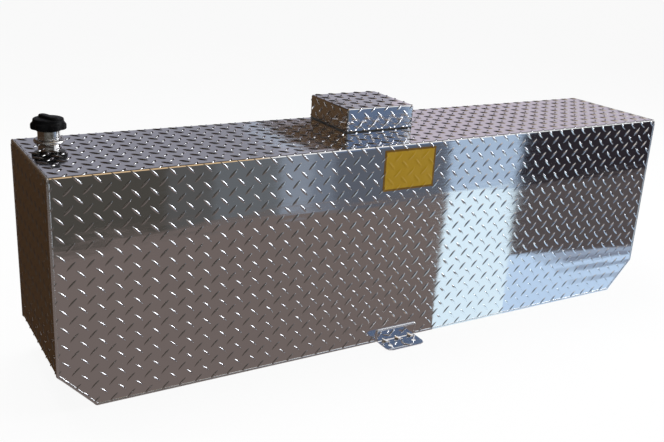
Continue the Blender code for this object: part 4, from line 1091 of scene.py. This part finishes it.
# Rings of the cap's shell from the hollow's middle to the crown's: radius, height over the tank's
# top, and how much of the notches between the lobes each has
CAP_RINGS = (
    (0.0001, 0.0376, 0.0), (0.0069, 0.0376, 0.0), (0.0069, 0.0353, 0.0),
    (0.0056, 0.0353, 0.0), (0.0056, 0.0343, 0.0), (0.0223, 0.0343, 0.0),
    (0.0223, 0.0215, 0.0), (0.0240, 0.0215, 0.0), (0.0246, 0.0219, 0.0),
    (0.0251, 0.0227, 0.05), (0.0270, 0.0233, 0.2), (0.0305, 0.0240, 0.5),
    (0.0330, 0.0244, 0.9), (0.0341, 0.0252, 1.0), (0.0347, 0.0266, 1.0),
    (0.0347, 0.0300, 1.0), (0.0347, 0.0334, 1.0), (0.0342, 0.0349, 1.0),
    (0.0334, 0.0361, 0.9), (0.0320, 0.0370, 0.6), (0.0308, 0.0380, 0.35),
    (0.0301, 0.0396, 0.15), (0.0298, 0.0414, 0.05), (0.0296, 0.0430, 0.0),
    (0.0290, 0.0442, 0.0), (0.0278, 0.0448, 0.0), (0.0120, 0.0450, 0.0),
    (0.0001, 0.0450, 0.0))

# Rings of the grip bar: how far each lies inside the bar's outline, and its height
GRIP_RINGS = ((0.0, 0.0436), (0.0, 0.0476), (0.0005, 0.0486), (0.0015, 0.0495),
              (0.0030, 0.0500), (0.0060, 0.0500))


@dataclass
class FillerNeck:
    """Polished filler tube and the screw cap on it."""

    palette: Palette
    wall: float = 0.0025
    lip: float = 0.0009
    lip_share: float = 0.3
    tube_steps: int = 72
    lobes: int = 7
    lobe_depth: float = 0.0036
    lobe_steps: int = 14
    turn: float = -30.0
    grip_length: float = 0.052
    grip_width: float = 0.0175
    grip_turn: float = -68.0
    grip_steps: int = 32

    def make(self) -> None:
        """Make the tube, and the cap's shell with its grip."""
        (left, _, bottom), (right, _, top) = node_box("filler_neck")
        radius, low, high = (right - left) / 2, bottom - TOP, top - TOP
        bore, lip, soft = radius - self.wall, self.lip, self.lip * self.lip_share
        tube = draw_rings("filler_tube", [
            (radius, low), (radius, high - lip), (radius - soft, high - soft),
            (radius - lip, high), (bore + lip, high), (bore + soft, high - soft),
            (bore, high - lip), (bore, low), (radius, low)], self.tube_steps)
        self.palette.dress(self.stand(close_form(tube)), Slot.ALUMINIUM,
                           replaces=["filler_neck"], sharp=50.0)
        cap = join("screw_cap", [self.cap_shell(), self.grip()])
        self.palette.dress(cap, Slot.PLASTIC, Body.CAP, ["cap_shell"], sharp=38.0)

    def stand(self, obj: Object, turn: float = 0.0) -> Object:
        """Turn a piece and stand it on the tank's top at the neck."""
        obj.rotation_euler.z = math.radians(turn)
        obj.location = (*node_middle("filler_neck"), TOP)
        return settle(obj)

    def cap_shell(self) -> Object:
        """Make the cap's shell: a skirt, a lobed flange, a low crown and the hollow inside.

        Returns:
            The shell, in its place.
        """
        steps = self.lobes * self.lobe_steps
        shell = draw_rings("cap_shell_form", [ring[:2] for ring in CAP_RINGS], steps)
        points = read_points(shell)
        notch_share = np.repeat([ring[2] for ring in CAP_RINGS], steps)
        angle = np.arctan2(points[:, 1], points[:, 0])
        notch = (0.5 - 0.5 * np.cos(self.lobes * angle)) ** 2
        reach = np.hypot(points[:, 0], points[:, 1])
        scale = 1.0 - self.lobe_depth * notch * notch_share / reach
        points[:, :2] *= scale[:, None]
        write_points(shell, points)
        return self.stand(close_form(shell), self.turn)

    def grip(self) -> Object:
        """Make the bar across the cap that the hand turns.

        Returns:
            The bar, in its place.
        """
        half = (self.grip_length - self.grip_width) / 2
        bar = open_ring("cap_grip", self.grip_steps, self.grip_width / 2,
                        location=(0.0, 0.0, GRIP_RINGS[0][1]))
        with editing(bar) as bm:
            for side in (-1.0, 1.0):
                choose(bar, bm.verts, lambda v, way=side: v.co.x * way > 1e-6)
                bpy.ops.transform.translate(value=(side * half, 0.0, 0.0))
            bpy.ops.mesh.select_all(action="SELECT")
            for (inset, height), (next_inset, next_height) in zip(GRIP_RINGS, GRIP_RINGS[1:]):
                long, wide = [(size - 2 * next_inset) / (size - 2 * inset)
                              for size in (self.grip_length, self.grip_width)]
                grow_ring((0.0, 0.0, next_height - height), (long, wide, 1.0),
                          center_override=(0.0, 0.0, next_height))
        return self.stand(close_form(bar), self.grip_turn)


@dataclass
class DialMarks:
    """Tick marks on the gauge's dial, from empty to full, long ones at empty, half and full."""

    palette: Palette
    inner: float = 0.0125
    small_inner: float = 0.0147
    outer: float = 0.0172
    widths: Pair = (0.0011, 0.0007)
    thickness: float = 0.0002
    bevel: float = 0.00005
    empty_turn: float = 225.0
    sweep: float = 270.0
    ticks: int = 9

    def make(self) -> None:
        """Make the ticks round the dial and join them."""
        x, y = node_middle("gauge_dial")
        top = node_box("gauge_dial")[1][2]
        pieces = []
        for number in range(self.ticks):
            small = number % ((self.ticks - 1) // 2) != 0
            inner = self.small_inner if small else self.inner
            turn = math.radians(self.empty_turn - self.sweep * number / (self.ticks - 1))
            middle = (inner + self.outer) / 2
            tick = primitive(f"dial_tick_{number}", "cube", size=1.0, rotation=(0.0, 0.0, turn),
                             location=(x + middle * math.cos(turn), y + middle * math.sin(turn),
                                       top + self.thickness / 4))
            tick.scale = (self.outer - inner, self.widths[small], self.thickness)
            settle(tick)
            with editing(tick, "EDGE"):
                bpy.ops.mesh.bevel(offset=self.bevel, segments=1)
            pieces.append(tick)
        self.palette.dress(join("dial_marks", pieces), Slot.PLASTIC)


@dataclass
class CoverPlate:
    """Lugs on the hinged cover."""

    palette: Palette
    pattern: TreadPattern
    bend: float = 0.004
    edge: float = 0.0012
    side_gap: float = 0.0032
    back_reach: float = 0.002
    back_gap: float = 0.0035
    column: float = -0.0720
    row_below_top: float = 0.0190
    side_column: float = -0.030
    side_rows: Pair = (0.008, 0.022)

    def make(self) -> None:
        """Make the lugs of the cover's top and front, then of its two sides."""
        (left, front, base), (right, back, top) = node_box("fittings_cover")
        line = FoldedLine([(front, base), (front, top), (back, top), (back, base)], self.bend)
        rise = top - base
        inset = right - self.side_gap
        main = self.pattern.patch("cover_lugs", (-inset, self.edge),
                                  (inset, line.length - rise + self.back_reach),
                                  (self.column, rise - self.row_below_top))
        pieces = [wrap(main, line.over)]
        for side, face, heights, low, high, row in (
                (-1, left, (base, top), self.edge, rise - self.bend, self.side_rows[0]),
                (1, right, (top, base), self.bend, rise - self.edge, self.side_rows[1])):
            side_line = FoldedLine([(face, height) for height in heights], self.bend)
            strip = self.pattern.patch(
                f"cover_side_lugs_{side}", (-back + self.back_gap, low),
                (-front - self.bend, high), (self.side_column, row))
            pieces.append(wrap(strip, side_line.around))
        self.palette.dress(join("cover_lugs", pieces), Slot.PLATE, Body.COVER)


# Label on the front


@dataclass
class Label:
    """Thin blank label that lies over the front's lugs: a yellow field with a plain dark rim."""

    palette: Palette
    pattern: TreadPattern
    phase: Pair
    width: float = 0.133
    height: float = 0.091
    below_top: float = 0.010
    thickness: float = 0.00012
    gap: float = 0.00025
    cell: float = 0.0014
    spread: float = 0.0008
    rim: float = 0.0045

    def make(self) -> None:
        """Make the label: a fine sheet, pressed over the lugs, then given its thickness."""
        obj = primitive("yellow_label", "grid", size=1.0,
                        x_subdivisions=math.ceil(self.width / self.cell),
                        y_subdivisions=math.ceil(self.height / self.cell))
        points = read_points(obj)
        middle = TOP - BOTTOM - self.below_top - self.height / 2
        flat = np.column_stack([points[:, 0] * self.width, middle + points[:, 1] * self.height])
        shifts = [np.array([x, y]) * self.spread for x in (-1, 0, 1) for y in (-1, 0, 1)]
        rise = sum(self.pattern.height_at(flat + shift, self.phase) for shift in shifts)
        write_points(obj, np.column_stack([flat, rise / len(shifts) + self.gap]))
        finish_with(obj, "SOLIDIFY", thickness=self.thickness, offset=1.0)
        self.palette.dress(wrap(obj, BODY_LINE.over), self.material())

    def material(self) -> Material:
        """Build the label's face: deep yellow with a thin darker rim, and no print.

        Returns:
            The material.
        """
        paint = Paint("label_print")
        place = paint.add("SeparateXYZ", {0: paint.add("TexCoord").outputs["Object"]}).outputs
        up = paint.math("SUBTRACT", place["Z"], TOP - self.below_top - self.height / 2)
        inside = [paint.math("LESS_THAN", paint.math("ABSOLUTE", value, 0.0), size / 2 - self.rim)
                  for value, size in ((place["X"], self.width), (up, self.height))]
        colour = paint.mix(paint.math("MULTIPLY", *inside), (0.14, 0.07, 0.005, 1.0),
                           (0.36, 0.215, 0.006, 1.0))
        return paint.feed(self.palette.moulded, {
            "Colour": colour, "Dust Colour": (0.55, 0.36, 0.06, 1.0), "Roughness": 0.32,
            "Dust": 0.12, "Grain Depth": 0.05, "Grain Size": 500.0},
            {"Coat Weight": 0.1, "Specular IOR Level": 0.25})


# Studio: camera, floor, lamps and the room of plain cards that the metal mirrors


# Cards that the front mirrors: name, edges on it from left to right, heights there of the lower
# and upper edge at the left and right, how far off the card seems (see mirrored), and its colour
ROOM_FAR = 1.584
HORIZON = (0.337, 0.337)
FOOT = (0.0, 0.0)
BASE = (0.25, 0.25)
LINTEL = (0.91, 0.91)
FRONT_CARDS = (
    ("taupe_floor_card", (-2.4, 0.105), FOOT, HORIZON, None, (0.180, 0.146, 0.134)),
    ("pale_floor_card", (0.105, 0.320), FOOT, HORIZON, None, (0.82, 1.00, 1.10)),
    ("dim_floor_card", (0.320, 1.40), (0.157, 0.060), HORIZON, None, (0.10, 0.085, 0.085)),
    ("olive_card", (-2.4, -0.550), BASE, (1.85, 1.85), ROOM_FAR, (0.072, 0.067, 0.058)),
    ("slate_card", (-0.550, -0.450), BASE, (1.85, 1.85), ROOM_FAR, (0.10, 0.10, 0.098)),
    ("steel_card", (-0.450, -0.3124), BASE, (1.85, 1.85), ROOM_FAR, (0.138, 0.150, 0.160)),
    ("pane_card", (-0.3124, -0.235), BASE, LINTEL, ROOM_FAR, (0.26, 0.30, 0.36)),
    ("frame_card", (-0.235, -0.180), BASE, LINTEL, ROOM_FAR, (0.18, 0.21, 0.26)),
    ("skirting_card", (-0.720, -0.330), (0.3405, 0.3405), (0.349, 0.349), 1.55,
     (0.15, 0.122, 0.11)),
    ("threshold_card", (-2.4, -0.655), (0.320, 0.322), (0.334, 0.334), 1.50,
     (0.078, 0.070, 0.061)),
    ("grey_card", (-0.180, 0.10), BASE, (TOP, TOP), ROOM_FAR, (0.112, 0.126, 0.155)),
    ("blue_card", (-0.180, 0.10), (TOP, TOP), LINTEL, ROOM_FAR, (0.13, 0.18, 0.28)),
    ("cool_card", (0.10, 0.320), BASE, (0.80, 0.80), ROOM_FAR, (0.44, 0.57, 0.74)),
    ("dark_card", (0.320, 1.70), BASE, (1.25, 1.25), ROOM_FAR, (0.026, 0.022, 0.027)),
)

# Upright cards: name, start and end on the floor, lower and upper height, and colour
BROWN = (0.085, 0.053, 0.030)
WALL_CARDS = (
    ("left_wall_card", (-2.6, -3.0), (-2.6, 3.2), (0.0, 2.4), (0.045, 0.028, 0.018)),
    ("right_wall_card", (3.5, -1.3), (3.5, 1.5), (0.0, 1.6), (0.035, 0.028, 0.034)),
    ("brown_back_card", (-2.6, 3.2), (-0.55, 3.2), (0.0, 2.6), BROWN),
    ("grey_back_card", (-0.55, 3.2), (1.42, 3.2), (0.0, 2.6), (0.29, 0.29, 0.335)),
    ("middle_back_card", (1.42, 3.2), (2.25, 3.2), (0.0, 2.6), (0.40, 0.39, 0.45)),
    ("pale_back_card", (2.25, 3.2), (6.5, 3.2), (0.0, 2.6), (0.56, 0.505, 0.58)),
)

# Level cards: name, two opposite corners, height and colour
CEILING = (0.018, 0.013, 0.010)
LEVEL_CARDS = (
    ("ceiling_card", (-3.0, -3.0), (0.62, 3.2), 2.4, CEILING),
    ("right_ceiling_card", (0.62, 0.3), (6.5, 3.2), 2.4, CEILING),
    ("warm_ceiling_card", (-0.6, -2.2), (0.62, -0.4), 2.38, (0.74, 0.53, 0.31)),
    ("brown_floor_card", (-3.0, -0.12), (-0.775, 1.9), 0.003, (0.048, 0.027, 0.014)),
    ("brown_back_floor_card", (-3.0, 1.9), (-0.775, 3.2), 0.003, BROWN),
)

# Bands that the top mirrors: name, left and right edge on it, and colour
BAND_FAR = 2.2
BAND_CARDS = (
    ("brown_band_card", -0.238, -0.090, (0.078, 0.048, 0.027)),
    ("pale_band_card", -0.278, -0.238, (0.44, 0.50, 0.60)),
)

# Streaks in the pale floor that the front mirrors low on its right, a painted reflection: the
# lower and upper share of its height that each takes, where it starts, and its colour
PALE_FLOOR = (0.58, 0.76, 0.98)
PALE_LEFT, PALE_RIGHT = 0.320, 1.40
PALE_HEIGHTS = (0.157, 0.060)
STREAK_FADE = 0.07
STREAKS = (
    (0.00, 0.30, 1.40, PALE_FLOOR), (0.30, 0.40, 0.54, (0.42, 0.53, 0.68)),
    (0.40, 0.56, 1.40, PALE_FLOOR), (0.56, 0.66, 0.49, (0.32, 0.40, 0.52)),
    (0.66, 0.78, 1.40, PALE_FLOOR), (0.78, 0.88, 0.44, (0.24, 0.28, 0.36)),
    (0.88, 1.00, 0.40, (0.36, 0.44, 0.56)),
)

# Lamps: name, place, width and height, power in watts, and colour
LAMPS = (
    ("right_lamp", (3.2, -0.9, 1.4), (1.6, 1.6), 60.0, (0.94, 0.97, 1.0)),
    ("top_lamp", (-0.3, 0.6, 2.6), (2.2, 1.4), 40.0, WHITE),
    ("front_lamp", (-1.6, -3.0, 1.8), (1.4, 1.4), 25.0, WHITE),
)


@dataclass
class Studio:
    """Camera, white world, floor, lamps and the cards that only reflections see."""

    card_gap: float = 0.002
    lamp_target: Point = (0.0, 0.0, 0.3)
    floor_size: float = 30.0
    floor_glow: float = 0.90
    soft_light: float = 0.45

    def make(self) -> None:
        """Make the whole studio."""
        self.camera()
        self.world()
        self.floor()
        self.lamps()
        self.cards()

    def camera(self) -> None:
        """Set the camera where the photograph was taken from."""
        data = bpy.data.cameras.new("camera")
        data.lens, data.sensor_width = CAMERA_LENS, SENSOR_WIDTH
        data.clip_start, data.clip_end = 0.02, 60.0
        camera = bpy.data.objects.new("camera", data)
        right, ahead = CAMERA_RIGHT.normalized(), CAMERA_AHEAD.normalized()
        matrix = Matrix((right, right.cross(ahead).normalized(), -ahead)).transposed().to_4x4()
        matrix.translation = CAMERA_PLACE
        camera.matrix_world = matrix
        bpy.context.scene.collection.objects.link(camera)
        bpy.context.scene.camera = camera

    def world(self) -> None:
        """Set a white world for what is seen, and plain soft light for the rest."""
        world = bpy.data.worlds.new("studio_world")
        bpy.context.scene.world = world
        world.use_nodes = True
        bench = NodeBench(world.node_tree)
        background = world.node_tree.nodes["Background"].inputs
        background["Color"].default_value = (*WHITE, 1.0)
        strength = bench.ramp(bench.seen(), 0.0, 1.0, self.soft_light, 1.0)
        bench.tree.links.new(strength, background["Strength"])

    def floor(self) -> None:
        """Make the pale floor, which keeps the tank's soft shadow."""
        obj = primitive("floor", "plane", size=self.floor_size)
        paint = Paint("pale_floor")
        paint.shader.inputs["Base Color"].default_value = (0.90, 0.90, 0.90, 1.0)
        paint.shader.inputs["Roughness"].default_value = 0.9
        glow = paint.add("Emission", {"Color": (*WHITE, 1.0), "Strength": 1.0})
        share = paint.math("MULTIPLY", paint.seen(), self.floor_glow)
        obj.data.materials.append(paint.surface(paint.add(
            "MixShader", {0: share, 1: paint.shader.outputs[0], 2: glow.outputs[0]})))

    def lamps(self) -> None:
        """Add soft lamps: a broad one from the right, one from above and a weak one in front."""
        for name, place, size, watts, colour in LAMPS:
            data = bpy.data.lights.new(name, "AREA")
            data.shape = "RECTANGLE"
            data.size, data.size_y = size
            data.energy = watts
            data.color = colour
            lamp = bpy.data.objects.new(name, data)
            lamp.location = place
            aim = Vector(self.lamp_target) - Vector(place)
            lamp.rotation_euler = aim.to_track_quat("-Z", "Y").to_euler()
            bpy.context.scene.collection.objects.link(lamp)

    def mirrored(self, face: Mirror, points: Sequence[Point], far: float | None) -> list[Point]:
        """Find where a card's corners have to be, for a flat face to mirror them at given places.

        Args:
            face: The mirroring face.
            points: Places on that face, where the card's corners are to be seen.
            far: How far along the sight line the card seems to be, in camera distances to the
                face, or None for a card that lies on the floor.

        Returns:
            The corners of the card.
        """
        corners = []
        for point in points:
            ray = Vector(point) - CAMERA_PLACE
            share = (self.card_gap - CAMERA_PLACE.z) / ray.z if far is None else far
            seen = CAMERA_PLACE + ray * share
            if face is Mirror.FRONT:
                seen.y = 2 * FRONT - seen.y
            else:
                seen.z = 2 * TOP - seen.z
            corners.append(tuple(seen))
        return corners

    def card(self, name: str, corners: Sequence[Point], colour: Colour) -> None:
        """Add a card that only shows in reflections.

        Args:
            name: Name of the card.
            corners: Its four corners in turn.
            colour: Its colour.
        """
        obj = primitive(name, "plane", size=1.0)
        write_points(obj, np.array([corners[number] for number in (0, 1, 3, 2)]))
        paint = Paint(name)
        obj.data.materials.append(paint.surface(
            paint.add("Emission", {"Color": (*colour, 1.0), "Strength": 1.0})))
        for kind in ("camera", "diffuse", "shadow", "transmission"):
            setattr(obj, f"visible_{kind}", False)

    def front_card(self, name: str, across: Pair, low: Pair, high: Pair, far: float | None,
                   colour: Colour) -> None:
        """Add a card by the place where the front mirrors it.

        Args:
            name: Name of the card.
            across: Its left and right edge on the front.
            low: Height of its lower edge at the left and at the right.
            high: Height of its upper edge at the left and at the right.
            far: See mirrored().
            colour: Its colour.
        """
        left, right = across
        points = [(left, FRONT, low[0]), (right, FRONT, low[1]), (right, FRONT, high[1]),
                  (left, FRONT, high[0])]
        self.card(name, self.mirrored(Mirror.FRONT, points, far), colour)

    def streaks(self) -> None:
        """Add the painted reflection of the pale floor low on the front's right, with streaks that
        fade in from the left.
        """
        slope = (PALE_HEIGHTS[1] - PALE_HEIGHTS[0]) / (PALE_RIGHT - PALE_LEFT)
        for index, (low, high, start, colour) in enumerate(STREAKS):
            between = tuple((one + other) / 2 for one, other in zip(PALE_FLOOR, colour))
            edges = sorted({PALE_LEFT, start, min(start + STREAK_FADE, PALE_RIGHT), PALE_RIGHT})
            tops = [PALE_HEIGHTS[0] + slope * (edge - PALE_LEFT) for edge in edges]
            for step, tone in enumerate((PALE_FLOOR, between, colour)[:len(edges) - 1]):
                ends = tops[step:step + 2]
                self.front_card(f"streak_card_{index + 1}_{step + 1}", edges[step:step + 2],
                                [low * top for top in ends], [high * top for top in ends], None,
                                tone)

    def cards(self) -> None:
        """Add the cards in front, and the room to the left of the tank and behind it."""
        for row in FRONT_CARDS:
            self.front_card(*row)
        self.streaks()
        for name, start, end, (low, high), colour in WALL_CARDS:
            self.card(name, [(*start, low), (*end, low), (*end, high), (*start, high)], colour)
        for name, low, high, height, colour in LEVEL_CARDS:
            self.card(name, [(low[0], low[1], height), (high[0], low[1], height),
                             (high[0], high[1], height), (low[0], high[1], height)], colour)
        for name, left, right, colour in BAND_CARDS:
            patch = [(left, FRONT, TOP), (right, FRONT, TOP), (right, BACK, TOP),
                     (left, BACK, TOP)]
            self.card(name, self.mirrored(Mirror.TOP, patch, BAND_FAR), colour)


def main() -> None:
    """Load the tank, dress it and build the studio."""
    logging.basicConfig(level=logging.INFO, format="%(name)s %(message)s")
    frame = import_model()
    deselect()
    view = bpy.context.scene.view_settings
    view.view_transform = "Standard"
    Studio().make()
    palette = Palette()
    palette.paint_nodes(frame)
    pattern = TreadPattern()
    plate = TankPlate(palette, pattern)
    plate.make()
    Seams(palette).make()
    FillerNeck(palette).make()
    CoverPlate(palette, pattern).make()
    DialMarks(palette).make()
    Label(palette, pattern, plate.phase).make()
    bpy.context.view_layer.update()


if __name__ == "__main__":
    main()
